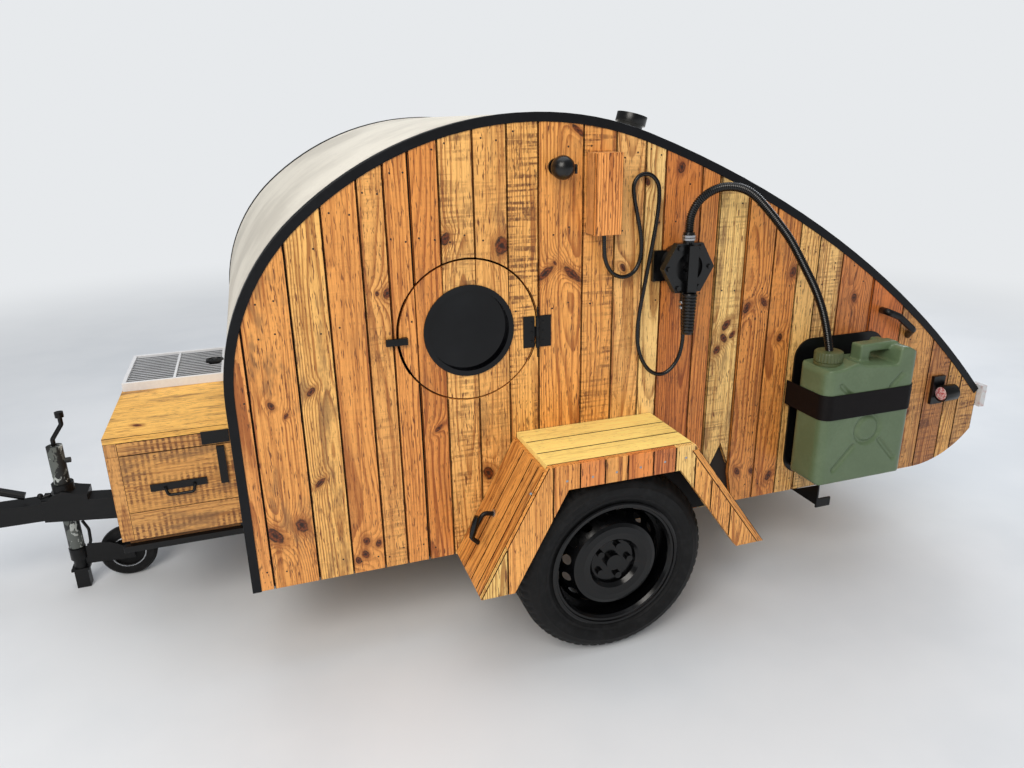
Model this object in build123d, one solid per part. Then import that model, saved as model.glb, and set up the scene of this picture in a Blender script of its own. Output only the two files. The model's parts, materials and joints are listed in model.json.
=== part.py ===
from build123d import *
import math
import os

os.makedirs("parts", exist_ok=True)

# A teardrop trailer standing on its wheels and its jockey foot. While it is
# built, x runs rearwards from the front of the cabin, y to the right from the
# centre line, and z up from the ground. The kept frame is centred in x.

# Cabin
BODY_WIDTH = 1400.0
BODY_BOTTOM = 279.0
FRONT_RISE = 544.0
# Each row: radius of the roof line, degrees it turns
ROOF_ARCS = [
    (607.0, 49.3),
    (962.0, 60.6),
    (3572.0, 26.8),
]
BELLY_RADIUS = 344.0
BELLY_REACH = 260.5
PLANK_T = 15.0
PLY_T = 15.0
SKIN_T = 20.0
FLOOR_T = 18.0
TRIM_T = 3.0
TRIM_LEG = 24.0
PLANK_GAP = 2.5
BULKHEAD_X = 1465.0
BULKHEAD_T = 15.0
FIT = 0.3
CLEAR = 6.0
# Further than any part of the trailer
FAR = 6000.0

# Vertical plank joints along the cabin side, measured at mid height
PLANK_JOINTS = [
    59, 182, 277, 368, 434, 498, 573, 664, 755, 842, 971, 1067, 1157, 1220,
    1338, 1401, 1503, 1605, 1696, 1772, 1866, 2001, 2141, 2298, 2395, 2460,
]
# Joints where the planks have shrunk further apart
WIDE_GAPS = {498: 5.0, 1401: 8.0, 1503: 8.0, 2001: 8.0}
# Corner missing from the left planks behind the fender: x, height
BROKEN_PLANK = [(1468, 218), (1436, 150), (1470, 60), (1521, 30), (1501, 137)]

# Rear hatch
HATCH_X = 1500.0
HATCH_T = 30.0
TAIL_T = 15.0
TAIL_GAP = 22.0
HATCH_BARREL_R = 6.0
HATCH_LEAF = 34.0

# Round porthole on the left side, and the window in the entry door
PORT_X = 641.0
PORT_Z = 680.0
PORT_HOLE_R = 198.0
PORT_DISC_R = 193.0
PORT_TAPER = 3.0
GLASS_R = 112.0
SEAL_R = 120.0
SEAL_LIP_R = 126.5
SEAL_LIP_T = 4.0
GLASS_T = 5.0

# Entry door on the right side
DOOR_X0 = 130.0
DOOR_X1 = 610.0
DOOR_Z0 = 130.0
DOOR_Z1 = 1060.0
DOOR_ARCH_R = 400.0
DOOR_CORNER_R = 50.0
DOOR_WINDOW_X = 400.0
DOOR_WINDOW_Z = 700.0
DOOR_HINGE_HEIGHTS = [230.0, 560.0]
DOOR_GRIP_HEIGHT = 480.0

# Sliding bolt across the edge of the porthole disc
BOLT_X = (412.0, 470.0)
BOLT_Z = (662.0, 681.0)
BOLT_LIFT = 5.5
BOLT_T = 8.0

# Butt hinges
HINGE_OUT = 7.0
KNUCKLE_R = 6.0
PIN_R = 2.5
PIN_CLEAR = 0.1
LEAF_T = 3.0
LEAF_LENGTH = 41.0
HINGE_HEIGHT = 90.0
PIN_LENGTH = 145.0

# Wheels and axle
WHEEL_X = 992.0
TYRE_R = 286.0
TYRE_WIDTH = 180.0
TYRE_GAP = 56.0
RIM_R = 178.0
RIM_LIP_R = 197.0
RIM_WIDTH = 168.0
# Pressed wheel disc: share of the rim radius, distance out from the middle
DISC_LINE = [
    (0.135, 52), (0.37, 52), (0.39, 62), (0.445, 73), (0.56, 77), (0.66, 75),
    (0.72, 71), (0.905, 22), (0.93, 13),
]
DISC_T = 6.0
WHEEL_HOLES = 16
WHEEL_HOLE_R = 16.0
HUB_R = 28.0
HUB_IN = -14.0
HUB_OUT = 52.0
SPINDLE_REACH = 20.0
BOLT_RING_R = 50.0
WHEEL_BOLTS = 5
AXLE_X = 835.0
AXLE_SIDE = 60.0
ARM_T = 20.0
SPINDLE_R = 20.0

# Fenders
FENDER_DEPTH = 260.0
BOARD_T = 18.0
BOARD_GAP = 1.0
FENDER_FOOT_X = (577.0, 1465.0)
FENDER_FOOT_Z = 8.0
FENDER_DECK_X = (772.0, 1206.0)
FENDER_DECK_Z = 364.0
FENDER_BAND = 73.0
FENDER_OPEN_FOOT = (674.0, 1370.0)
# Joints between the upright boards of a fender's face
FENDER_JOINTS = [654, 784, 860, 933, 1000, 1077, 1146, 1210, 1268, 1338]
# Joints between the sloping boards and between the deck boards, from the wall
SLOPE_JOINTS = [90, 157, 205]
DECK_JOINTS = [82, 164]
FENDER_GRIP = (100.0, 120.0)
GRIP_LENGTH = 96.0

# Chassis and drawbar
RAIL_Y = 300.0
RAIL_WIDTH = 50.0
RAIL_HEIGHT = 40.0
RAIL_END_X = 1950.0
CROSS_DEPTH = 50.0
FRAME_BAR = 20.0
ARM_TOP = 30.0
ARM_BOTTOM = -12.0
DRAWBAR_TOP = 39.0
DRAWBAR_BOTTOM = -37.0
DRAWBAR_RISE = 29.0
DRAWBAR_HALF = 35.0
DRAWBAR_X = (-640.0, -380.0)
POLE_R = 28.0
POLE_Z = 30.0
SOCKET_X = -1245.0
BALL_R = 25.2
SOCKET_DEPTH = 38.0
HEAD_R = 42.0
HOUSING_X = -960.0
HOUSING_Z = (-2.0, 60.0)

# Jockey leg
JOCKEY_X = -574.0
JOCKEY_TUBE_R = 24.0
JOCKEY_INNER_R = 20.0
JOCKEY_TUBE_Z = (152.0, 522.0)
JOCKEY_WHEEL_X = -425.0
JOCKEY_WHEEL_Y = 27.0
JOCKEY_WHEEL_R = 92.0
JOCKEY_WHEEL_WIDTH = 42.0
JOCKEY_PIN_R = 7.0

# Front box
BOX_X = (-356.0, -8.0)
BOX_HALF = 385.0
BOX_BOTTOM = 38.0
BOX_LID_Z = 326.0
BOX_TOP = 385.0
BOX_T = 18.0

# Fittings on the left side
CAN_X = (1700.0, 2047.0)
CAN_DEPTH = 140.0
CAN_STANDOFF = 45.0
CAN_BOTTOM = 109.0
CAN_TOP = 545.0
CAN_SHOULDER = 489.0
CAN_CORNER_R = 32.0
CAN_GRIP_Y = (47.0, 93.0)
CAP_R = 43.0
STRAP_Z = (330.0, 410.0)
STRAP_T = 3.0
PLATE_T = 6.0
BRACKET_X = 1791.0
BRACKET_Y = 102.0
OUTLET_X = (980.0, 1057.0)
OUTLET_Z = (922.0, 1134.0)
OUTLET_DEPTH = 65.0
PUMP_X = 1268.0
PUMP_Z = 817.0
PUMP_R = 80.0
PUMP_DEPTH = 72.0
PUMP_PLATE_T = 24.0
PUMP_DRAIN_Y = 50.0
WATER_HOSE_D = 25.0
SUPPLY_HOSE_D = 12.0
BALL_LAMP = (891.0, 1100.0)
BALL_LAMP_R = 31.0
SIDE_LAMP_X = (2320.0, 2371.0)
SIDE_LAMP_Z = (242.0, 345.0)
REAR_LAMP_Z = (205.0, 285.0)
VENT_X = 1197.0
VENT_Y = -500.0 / 1400.0 * BODY_WIDTH
VENT_R = 45.0
VENT_LEAN = 15.0
LAMP_DEPTH = 22.0

HALF = BODY_WIDTH / 2
WALL_IN = HALF - PLANK_T - PLY_T
PLY_OUT = HALF - PLANK_T


def roof_edges(inset):
    """Front edge and roof line, from the front bottom to the tail tip."""
    edges = [Line((inset, BODY_BOTTOM), (inset, BODY_BOTTOM + FRONT_RISE))]
    for radius, turn in ROOF_ARCS:
        edges.append(JernArc(edges[-1] @ 1, edges[-1] % 1, radius - inset, -turn))
    return edges


def tail_tip(inset):
    return roof_edges(inset)[-1] @ 1


BELLY_X = tail_tip(0).X - BELLY_REACH


def belly_edges(inset, reach):
    """Tail line, belly arc and bottom line back to the front."""
    top = tail_tip(inset)
    radius = BELLY_RADIUS - reach
    turn = math.asin((top.X - BELLY_X) / radius)
    low = (top.X, BODY_BOTTOM + BELLY_RADIUS - radius * math.cos(turn))
    start = (BELLY_X, BODY_BOTTOM + reach)
    middle = (
        BELLY_X + radius * math.sin(turn / 2),
        BODY_BOTTOM + BELLY_RADIUS - radius * math.cos(turn / 2),
    )
    return [
        Line((top.X, top.Y), low),
        ThreePointArc(low, middle, start),
        Line(start, (inset, BODY_BOTTOM + reach)),
    ]


def body_face(inset):
    return Face(Wire(roof_edges(inset) + belly_edges(inset, 0)))


def band_face(outer, inner):
    """Strip that follows the roof line between two insets."""
    out = roof_edges(outer)
    back = roof_edges(inner)
    foot = Line(back[0] @ 0, out[0] @ 0)
    end = Line(out[-1] @ 1, back[-1] @ 1)
    return Face(Wire(out + [end] + back[::-1] + [foot]))


def plate(face, low_y, high_y):
    """Outline drawn in x and z, made solid between two widths."""
    return Pos(0, high_y, 0) * (Plane.XZ * extrude(face, high_y - low_y, dir=(0, 0, 1)))


def block(x, y, z):
    """Box from (low, high) pairs."""
    middle = Pos((x[0] + x[1]) / 2, (y[0] + y[1]) / 2, (z[0] + z[1]) / 2)
    return middle * Box(x[1] - x[0], y[1] - y[0], z[1] - z[0])


def across(radius, length, x, y, z):
    """Cylinder along y, centred on a point."""
    return Pos(x, y, z) * Rot(90, 0, 0) * Cylinder(radius, length)


def polygon_face(points):
    return Face(Wire.make_polygon([Vector(a, b, 0) for a, b in points]))


def mirror_y(shape):
    return mirror(shape, about=Plane.XZ)


def off_the_wall(shape):
    """What stands out from the left side of the cabin."""
    return shape & block((-FAR, FAR), (-FAR, -HALF), (0, FAR))


def roof_height(x, inset=0.0):
    """Height of the roof line above the ground at x."""
    tall = block((x - 0.01, x + 0.01), (-1, 1), (0, FAR))
    return (plate(body_face(inset), -1, 1) & tall).bounding_box().max.Z


def roof_slope(x):
    """Degrees the roof skin falls towards the rear at x."""
    fall = roof_height(x - 5, TRIM_T) - roof_height(x + 5, TRIM_T)
    return math.degrees(math.atan2(fall, 10))


def hatch_axis_height():
    lean = math.radians(roof_slope(HATCH_X))
    return roof_height(HATCH_X, TRIM_T) + (HATCH_BARREL_R + FIT) / math.cos(lean)


NOSE_X = SOCKET_X - HEAD_R
REAR_X = tail_tip(TRIM_T).X + LAMP_DEPTH


def save(name, *solids):
    shift = Pos(-(NOSE_X + REAR_X) / 2, 0, 0)
    moved = [shift * solid for shape in solids for solid in shape.solids()]
    shape = moved[0] if len(moved) == 1 else Compound(moved)
    export_step(shape, f"parts/{name}.step")


def door_face(grow):
    """Entry door outline, grown evenly on every side."""
    width = DOOR_X1 - DOOR_X0 + 2 * grow
    height = DOOR_Z1 - DOOR_Z0 + 2 * grow
    middle = Pos((DOOR_X0 + DOOR_X1) / 2, BODY_BOTTOM + (DOOR_Z0 + DOOR_Z1) / 2)
    face = middle * Rectangle(width, height)
    corners = face.vertices().sort_by(Axis.Y)
    low = corners[:2]
    front_top, rear_top = corners[2:].sort_by(Axis.X)
    face = fillet([*low, rear_top], DOOR_CORNER_R + grow)
    arch = face.vertices().sort_by_distance(front_top)[0]
    return fillet(arch, DOOR_ARCH_R + grow).faces()[0]


def build_walls():
    face = body_face(TRIM_T)
    ply = plate(face, -PLY_OUT, -WALL_IN)
    skin = plate(face, -HALF, -PLY_OUT)
    ends = [TRIM_T, *PLANK_JOINTS, tail_tip(TRIM_T).X]
    planks = []
    for low, high in zip(ends, ends[1:]):
        start = low + WIDE_GAPS.get(low, PLANK_GAP) / 2
        end = high - WIDE_GAPS.get(high, PLANK_GAP) / 2
        planks += (skin & block((start, end), (-HALF, -PLY_OUT), (0, FAR))).solids()
    left_hole = across(PORT_HOLE_R, 200, PORT_X, -HALF, BODY_BOTTOM + PORT_Z)
    right_hole = plate(door_face(CLEAR), HALF - 100, HALF + 100)
    corner = polygon_face([(x, BODY_BOTTOM + height) for x, height in BROKEN_PLANK])
    broken = plate(corner, -HALF - 1, -PLY_OUT)
    save("wall_left", ply - left_hole)
    save("wall_right", mirror_y(ply) - right_hole)
    save("cladding_left", *[plank - left_hole - broken for plank in planks])
    save("cladding_right", *[mirror_y(plank) - right_hole for plank in planks])


def build_shell():
    tip = tail_tip(0)
    floor_top = BODY_BOTTOM + FLOOR_T
    inner_x = TRIM_T + SKIN_T
    save(
        "floor",
        block((inner_x, BELLY_X), (-WALL_IN, WALL_IN), (BODY_BOTTOM, floor_top)),
    )
    band = plate(band_face(TRIM_T, TRIM_T + SKIN_T), -WALL_IN, WALL_IN)
    save("roof_skin", band & block((-FAR, HATCH_X - CLEAR / 2), (-HALF, HALF), (0, FAR)))
    side = WALL_IN - CLEAR
    lid = plate(band_face(TRIM_T, TRIM_T + HATCH_T), -side, side)
    save("hatch", lid & block((HATCH_X + CLEAR / 2, FAR), (-HALF, HALF), (0, FAR)))
    full = plate(body_face(TRIM_T), -WALL_IN, WALL_IN)
    top = tail_tip(TRIM_T)
    radius = BELLY_RADIUS - TAIL_T
    core = across(radius, BODY_WIDTH, BELLY_X, 0, BODY_BOTTOM + BELLY_RADIUS)
    core += block(
        (BELLY_X, BELLY_X + radius), (-HALF, HALF), (BODY_BOTTOM + BELLY_RADIUS, FAR)
    )
    core &= block((-FAR, top.X - TAIL_T), (-HALF, HALF), (0, FAR))
    keep = block((BELLY_X, top.X + 1), (-HALF, HALF), (0, tip.Y - TAIL_GAP))
    save("tail_panel", (full & keep) - core)
    under = plate(body_face(TRIM_T + SKIN_T), -WALL_IN, WALL_IN)
    slab = block(
        (BULKHEAD_X, BULKHEAD_X + BULKHEAD_T), (-HALF, HALF), (floor_top, FAR)
    )
    save("bulkhead", under & slab)
    leg = plate(band_face(0, TRIM_LEG), -HALF - TRIM_T, -HALF)
    cap = plate(band_face(0, TRIM_T), -HALF, -WALL_IN)
    trim = leg + cap
    save("edge_trims", trim, mirror_y(trim))


def window(x, z, face_y, inner_y):
    """Rubber seal and glass set in a round hole along y."""
    outward = math.copysign(1, face_y)
    depth = abs(face_y - inner_y)
    middle = (face_y + inner_y) / 2
    seal = across(SEAL_R, depth, x, middle, z)
    for side in (face_y + outward * SEAL_LIP_T / 2, inner_y - outward * SEAL_LIP_T / 2):
        seal += across(SEAL_LIP_R, SEAL_LIP_T, x, side, z)
    seal -= across(GLASS_R, 3 * depth, x, middle, z)
    glass = across(GLASS_R - FIT, GLASS_T, x, middle, z)
    return seal, glass


def hinge(x, y, z, side):
    """Fixed and moving halves of a butt hinge with an upright pin.

    side is +1 where the fixed leaf lies rearwards of the pin.
    """
    outward = math.copysign(1, y)
    face = y - outward * HINGE_OUT
    span = tuple(sorted((face, face + outward * LEAF_T)))
    full = (z - HINGE_HEIGHT / 2, z + HINGE_HEIGHT / 2)
    near = KNUCKLE_R + 2
    step = HINGE_HEIGHT / 3
    fixed = Pos(x, y, z) * Cylinder(PIN_R, PIN_LENGTH)
    fixed += block(tuple(sorted((x + side * near, x + side * LEAF_LENGTH))), span, full)
    moving = block(tuple(sorted((x - side * near, x - side * LEAF_LENGTH))), span, full)
    for row in (-1, 0, 1):
        middle = z + row * step
        tall = (middle - step / 2 + PIN_CLEAR, middle + step / 2 - PIN_CLEAR)
        knuckle = Pos(x, y, middle) * Cylinder(KNUCKLE_R, tall[1] - tall[0])
        reach = side if row else -side
        knuckle += block(tuple(sorted((x, x + reach * near))), span, tall)
        if row:
            fixed += knuckle
        else:
            moving += knuckle
    moving -= Pos(x, y, z) * Cylinder(PIN_R + PIN_CLEAR, 2 * PIN_LENGTH)
    return fixed, moving


def build_porthole():
    z = BODY_BOTTOM + PORT_Z
    depth = PLANK_T + PLY_T
    cone = Cone(PORT_DISC_R, PORT_DISC_R - PORT_TAPER, depth)
    disc = Pos(PORT_X, -HALF + depth / 2, z) * Rot(-90, 0, 0) * cone
    disc -= across(SEAL_R, 3 * depth, PORT_X, -HALF, z)
    save("porthole_disc", disc)
    seal, glass = window(PORT_X, z, -HALF, -WALL_IN)
    save("porthole_window", seal, glass)
    pin_x = PORT_X + (PORT_HOLE_R + PORT_DISC_R) / 2
    fixed, moving = hinge(pin_x, -HALF - HINGE_OUT, z - 21, 1)
    tall = (BODY_BOTTOM + BOLT_Z[0], BODY_BOTTOM + BOLT_Z[1])
    bolt = block(BOLT_X, (-HALF - BOLT_LIFT - BOLT_T, -HALF - BOLT_LIFT), tall)
    foot_x = PORT_X - PORT_DISC_R + 6
    bolt += block((foot_x, BOLT_X[1]), (-HALF - BOLT_LIFT, -HALF), tall)
    save("porthole_hardware", moving, bolt)
    return fixed


def build_door():
    door = plate(door_face(0), WALL_IN, HALF)
    x = DOOR_WINDOW_X
    z = BODY_BOTTOM + DOOR_WINDOW_Z
    door -= across(SEAL_R, 200, x, HALF, z)
    save("entry_door", door)
    seal, glass = window(x, z, HALF, WALL_IN)
    save("door_window", seal, glass)
    pin_x = DOOR_X0 - CLEAR / 2
    fixed = []
    hardware = []
    for height in DOOR_HINGE_HEIGHTS:
        still, moving = hinge(pin_x, HALF + HINGE_OUT, BODY_BOTTOM + height, -1)
        fixed.append(still)
        hardware.append(moving)
    grip_x = DOOR_X1 - 45
    grip_z = BODY_BOTTOM + DOOR_GRIP_HEIGHT
    grip = block((grip_x - 9, grip_x + 9), (HALF + 32, HALF + 42), (grip_z - 60, grip_z + 60))
    for end in (-48, 48):
        grip += across(7, 42, grip_x, HALF + 21, grip_z + end)
    hardware.append(grip)
    save("door_hardware", *hardware)
    return fixed


def build_hatch_hinge():
    """Long barrel along the roof where the hatch meets the fixed skin."""
    slope = roof_slope(HATCH_X)
    z = hatch_axis_height()
    side = WALL_IN - CLEAR
    count = 5
    step = 2 * side / count
    fixed = across(PIN_R, 2 * side, HATCH_X, 0, z)
    moving = []
    sole = -HATCH_BARREL_R
    for index in range(count):
        y = -side + (index + 0.5) * step
        knuckle = across(HATCH_BARREL_R, step - 1, HATCH_X, y, z)
        reach = (0, HATCH_LEAF) if index % 2 else (-HATCH_LEAF, 0)
        leaf = block(reach, (0, step - 1), (sole, sole + 2))
        leaf = Pos(HATCH_X, y - step / 2 + 0.5, z) * Rot(0, slope, 0) * leaf
        if index % 2:
            hole = across(PIN_R + PIN_CLEAR, 2 * step, HATCH_X, y, z)
            moving.append(knuckle + leaf - hole)
        else:
            fixed += knuckle + leaf
    tip = tail_tip(TRIM_T)
    grip = block((tip.X - 70, tip.X - 58), (-90, 90), (tip.Y + 96, tip.Y + 108))
    for end in (-80, 80):
        stem = block((tip.X - 70, tip.X - 58), (end - 6, end + 6), (tip.Y + 50, tip.Y + 97))
        grip += stem
    full = plate(body_face(TRIM_T), -HALF, HALF)
    save("hatch_hardware", *moving, grip - full)
    return fixed


def build_chassis():
    low = BODY_BOTTOM - RAIL_HEIGHT
    rails = []
    for side in (-1, 1):
        y = side * RAIL_Y
        rails.append(
            block(
                (BOX_X[1], RAIL_END_X),
                (y - RAIL_WIDTH / 2, y + RAIL_WIDTH / 2),
                (low, BODY_BOTTOM),
            )
        )
    save("chassis_rails", *rails)
    inner = RAIL_Y - RAIL_WIDTH / 2
    crosses = [
        block((x, x + CROSS_DEPTH), (-inner, inner), (low, BODY_BOTTOM))
        for x in (BOX_X[1], RAIL_END_X - CROSS_DEPTH)
    ]
    save("cross_members", *crosses)
    arms = []
    front_x = DRAWBAR_X[1] - 40
    nose_x = DRAWBAR_X[1] + 30
    for side in (-1, 1):
        near = side * DRAWBAR_HALF
        wide = side * RAIL_Y
        face = polygon_face(
            [
                (front_x, near),
                (nose_x, near),
                (BOX_X[1], wide - side * RAIL_WIDTH / 2),
                (BOX_X[1], wide + side * RAIL_WIDTH / 2),
            ]
        )
        height = ARM_TOP - ARM_BOTTOM
        arm = Pos(0, 0, BODY_BOTTOM + ARM_BOTTOM) * extrude(face, height, dir=(0, 0, 1))
        arms.append(arm)
    save("v_arms", *arms)
    outline = [
        (DRAWBAR_X[0], drawbar_height(DRAWBAR_X[0], DRAWBAR_BOTTOM)),
        (DRAWBAR_X[1], drawbar_height(DRAWBAR_X[1], DRAWBAR_BOTTOM)),
        (DRAWBAR_X[1], drawbar_height(DRAWBAR_X[1], DRAWBAR_TOP)),
        (DRAWBAR_X[0], drawbar_height(DRAWBAR_X[0], DRAWBAR_TOP)),
    ]
    bar = plate(polygon_face(outline), -DRAWBAR_HALF, DRAWBAR_HALF)
    bar += block(
        (DRAWBAR_X[1], nose_x),
        (-DRAWBAR_HALF, DRAWBAR_HALF),
        (BODY_BOTTOM + ARM_BOTTOM, BODY_BOTTOM + ARM_TOP),
    )
    bar -= Pos(JOCKEY_X, 0, BODY_BOTTOM) * Cylinder(JOCKEY_TUBE_R + FIT, 400)
    save("drawbar", bar)


def drawbar_height(x, level):
    """Height above the ground of a line that climbs forwards with the drawbar."""
    share = (DRAWBAR_X[1] - x) / (DRAWBAR_X[1] - DRAWBAR_X[0])
    return BODY_BOTTOM + level + DRAWBAR_RISE * share


def build_axle():
    low = BODY_BOTTOM - RAIL_HEIGHT - AXLE_SIDE
    z = low + AXLE_SIDE / 2
    arm_y = HALF + 6
    beam = block(
        (AXLE_X - AXLE_SIDE / 2, AXLE_X + AXLE_SIDE / 2),
        (-arm_y, arm_y),
        (low, low + AXLE_SIDE),
    )
    run = WHEEL_X - AXLE_X
    rise = TYRE_R - z
    length = math.hypot(run, rise)
    angle = math.degrees(math.atan2(rise, run))
    link = Pos(AXLE_X + run / 2, 0, z + rise / 2) * Rot(0, -angle, 0) * Box(length, ARM_T, 52)
    link += across(34, ARM_T, AXLE_X, 0, z) + across(30, ARM_T, WHEEL_X, 0, TYRE_R)
    arm_mid = arm_y + ARM_T / 2
    tip_y = hub_face()
    spindle_len = tip_y - arm_y - ARM_T
    for side in (-1, 1):
        beam += Pos(0, side * arm_mid, 0) * link
        beam += across(
            SPINDLE_R, spindle_len, WHEEL_X, side * (arm_y + ARM_T + spindle_len / 2), TYRE_R
        )
    save("axle_beam", beam)


def wheel_middle():
    return HALF + TYRE_GAP + TYRE_WIDTH / 2


def hub_face():
    return wheel_middle() + SPINDLE_REACH


def build_wheels():
    middle = wheel_middle()
    half_w = TYRE_WIDTH / 2
    half_rim = RIM_WIDTH / 2
    # Tyre section, radius and distance from the middle plane
    section = [
        (RIM_R + 1, -half_rim + 14),
        (RIM_LIP_R + 6, -half_rim + 6),
        (RIM_LIP_R + 40, -half_w),
        (TYRE_R - 38, -half_w + 2),
        (TYRE_R - 8, -half_w + 20),
        (TYRE_R, -half_w + 34),
        (TYRE_R, half_w - 34),
        (TYRE_R - 8, half_w - 20),
        (TYRE_R - 38, half_w - 2),
        (RIM_LIP_R + 40, half_w),
        (RIM_LIP_R + 6, half_rim - 6),
        (RIM_R + 1, half_rim - 14),
    ]
    tyre = revolve(polygon_face(section), Axis.Y)
    well = RIM_R - 5
    disc = [(share * RIM_R, out) for share, out in DISC_LINE]
    # Rim section, radius and distance outwards from the middle plane
    rim_section = [
        (RIM_R, 4 - half_rim),
        (RIM_LIP_R, 4 - half_rim),
        (RIM_LIP_R, -half_rim),
        (well, -half_rim),
        (well, disc[-1][1] - DISC_T),
        *[(radius, out - DISC_T) for radius, out in disc[::-1]],
        *disc,
        (well, disc[-1][1]),
        (well, half_rim - 16),
        (RIM_R + 1, half_rim - 7),
        (RIM_R + 7, half_rim - 6),
        (RIM_R + 9, half_rim - 1.5),
        (RIM_R + 15, half_rim),
        (RIM_LIP_R, half_rim - 2),
        (RIM_LIP_R, half_rim - 5),
        (RIM_R, half_rim - 12),
    ]
    rim = revolve(polygon_face(rim_section), Axis.Y)
    high, low = disc[-3:-1]
    middle_of_cone = Vector((high[0] + low[0]) / 2, (high[1] + low[1]) / 2, 0)
    square_to_cone = Vector(high[1] - low[1], low[0] - high[0], 0)
    hole = Plane(origin=middle_of_cone, z_dir=square_to_cone) * Cylinder(WHEEL_HOLE_R, 36)
    rim -= [Rot(0, (index + 0.5) * 360 / WHEEL_HOLES, 0) * hole for index in range(WHEEL_HOLES)]
    rim += across(HUB_R, HUB_OUT - HUB_IN, 0, (HUB_OUT + HUB_IN) / 2, 0)
    rim += across(HUB_R - 4, 16, 0, HUB_OUT + 8, 0)
    for index in range(WHEEL_BOLTS):
        turn = Rot(0, index * 360 / WHEEL_BOLTS, 0)
        rim += turn * across(10, 12, BOLT_RING_R, HUB_OUT + 6, 0)
    rim -= across(SPINDLE_R + PIN_CLEAR, 200, 0, SPINDLE_REACH - 100, 0)
    for side, name in ((-1, "left"), (1, "right")):
        for node, shape in (("tyre", tyre), ("rim", rim)):
            placed = shape if side > 0 else mirror_y(shape)
            save(f"{node}_{name}", Pos(WHEEL_X, side * middle, TYRE_R) * placed)


def build_fenders():
    foot = FENDER_FOOT_X
    deck = FENDER_DECK_X
    base = BODY_BOTTOM + FENDER_FOOT_Z
    top = BODY_BOTTOM + FENDER_DECK_Z
    under = top - BOARD_T
    band = top - FENDER_BAND
    out = HALF + FENDER_DEPTH
    back = out - BOARD_T
    gap = BOARD_GAP / 2
    front_lean = math.atan2(top - base, deck[0] - foot[0])
    rear_lean = math.atan2(top - base, foot[1] - deck[1])
    thick_front = BOARD_T / math.sin(front_lean)
    thick_rear = BOARD_T / math.sin(rear_lean)

    def front_x(start, height):
        return start + (height - base) / math.tan(front_lean)

    def rear_x(start, height):
        return start - (height - base) / math.tan(rear_lean)

    decks = []
    ends = [0, *DECK_JOINTS, back - HALF]
    for low, high in zip(ends, ends[1:]):
        near = HALF + low + gap * (low > 0)
        wide = HALF + high - gap * (HALF + high < back)
        decks.append(block(deck, (near, wide), (under, top)))
    save("fender_decks", *decks, *[mirror_y(board) for board in decks])
    front = polygon_face(
        [
            (foot[0], base),
            (foot[0] + thick_front, base),
            (front_x(foot[0] + thick_front, under), under),
            (front_x(foot[0], under), under),
        ]
    )
    rear = polygon_face(
        [
            (foot[1], base),
            (foot[1] - thick_rear, base),
            (rear_x(foot[1] - thick_rear, under), under),
            (rear_x(foot[1], under), under),
        ]
    )
    boards = []
    for slope, end in ((front, back - HALF - gap), (rear, FENDER_DEPTH)):
        ends = [0, *SLOPE_JOINTS, end]
        for low, high in zip(ends, ends[1:]):
            near = HALF + low + gap * (low > 0)
            wide = HALF + high - gap * (high < end)
            boards.append(plate(slope, near, wide))
    edge = foot[1] - thick_rear - gap
    outline = polygon_face(
        [
            (foot[0], base),
            (deck[0], top),
            (deck[1], top),
            (rear_x(foot[1], under + gap), under + gap),
            (rear_x(edge, under + gap), under + gap),
            (edge, base),
        ]
    )
    opening = polygon_face(
        [
            (FENDER_OPEN_FOOT[0], base),
            (FENDER_OPEN_FOOT[1], base),
            (rear_x(FENDER_OPEN_FOOT[1], band), band),
            (front_x(FENDER_OPEN_FOOT[0], band), band),
        ]
    )
    face = plate(outline, back, out) - plate(opening, back - 1, out + 1)
    ends = [foot[0] - 1, *FENDER_JOINTS, foot[1] + 1]
    for low, high in zip(ends, ends[1:]):
        boards += (face & block((low + gap, high - gap), (back, out), (0, FAR))).solids()
    save("fender_boards_right", *boards)
    save("fender_boards_left", *[mirror_y(board) for board in boards])
    reach, height = FENDER_GRIP
    ends = (-GRIP_LENGTH / 2, GRIP_LENGTH / 2)
    points = [(0, ends[0]), (-30, ends[0] + 8), (-30, ends[1] - 8), (0, ends[1])]
    path = FilletPolyline(*[(x, 0, z) for x, z in points], radius=16)
    bar = sweep(Plane(origin=path @ 0, z_dir=path % 0) * Circle(6.5), path)
    grip_x = front_x(foot[0], base + height)
    lean = 90 - math.degrees(front_lean)
    bar = Pos(grip_x, -HALF - reach, base + height) * Rot(0, lean, 0) * bar
    bar &= plate(
        polygon_face(
            [
                (foot[0], base),
                (front_x(foot[0], top), top),
                (-FAR, top),
                (-FAR, base),
            ]
        ),
        -FAR,
        0,
    )
    save("fender_handles", bar, mirror_y(bar))


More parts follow.
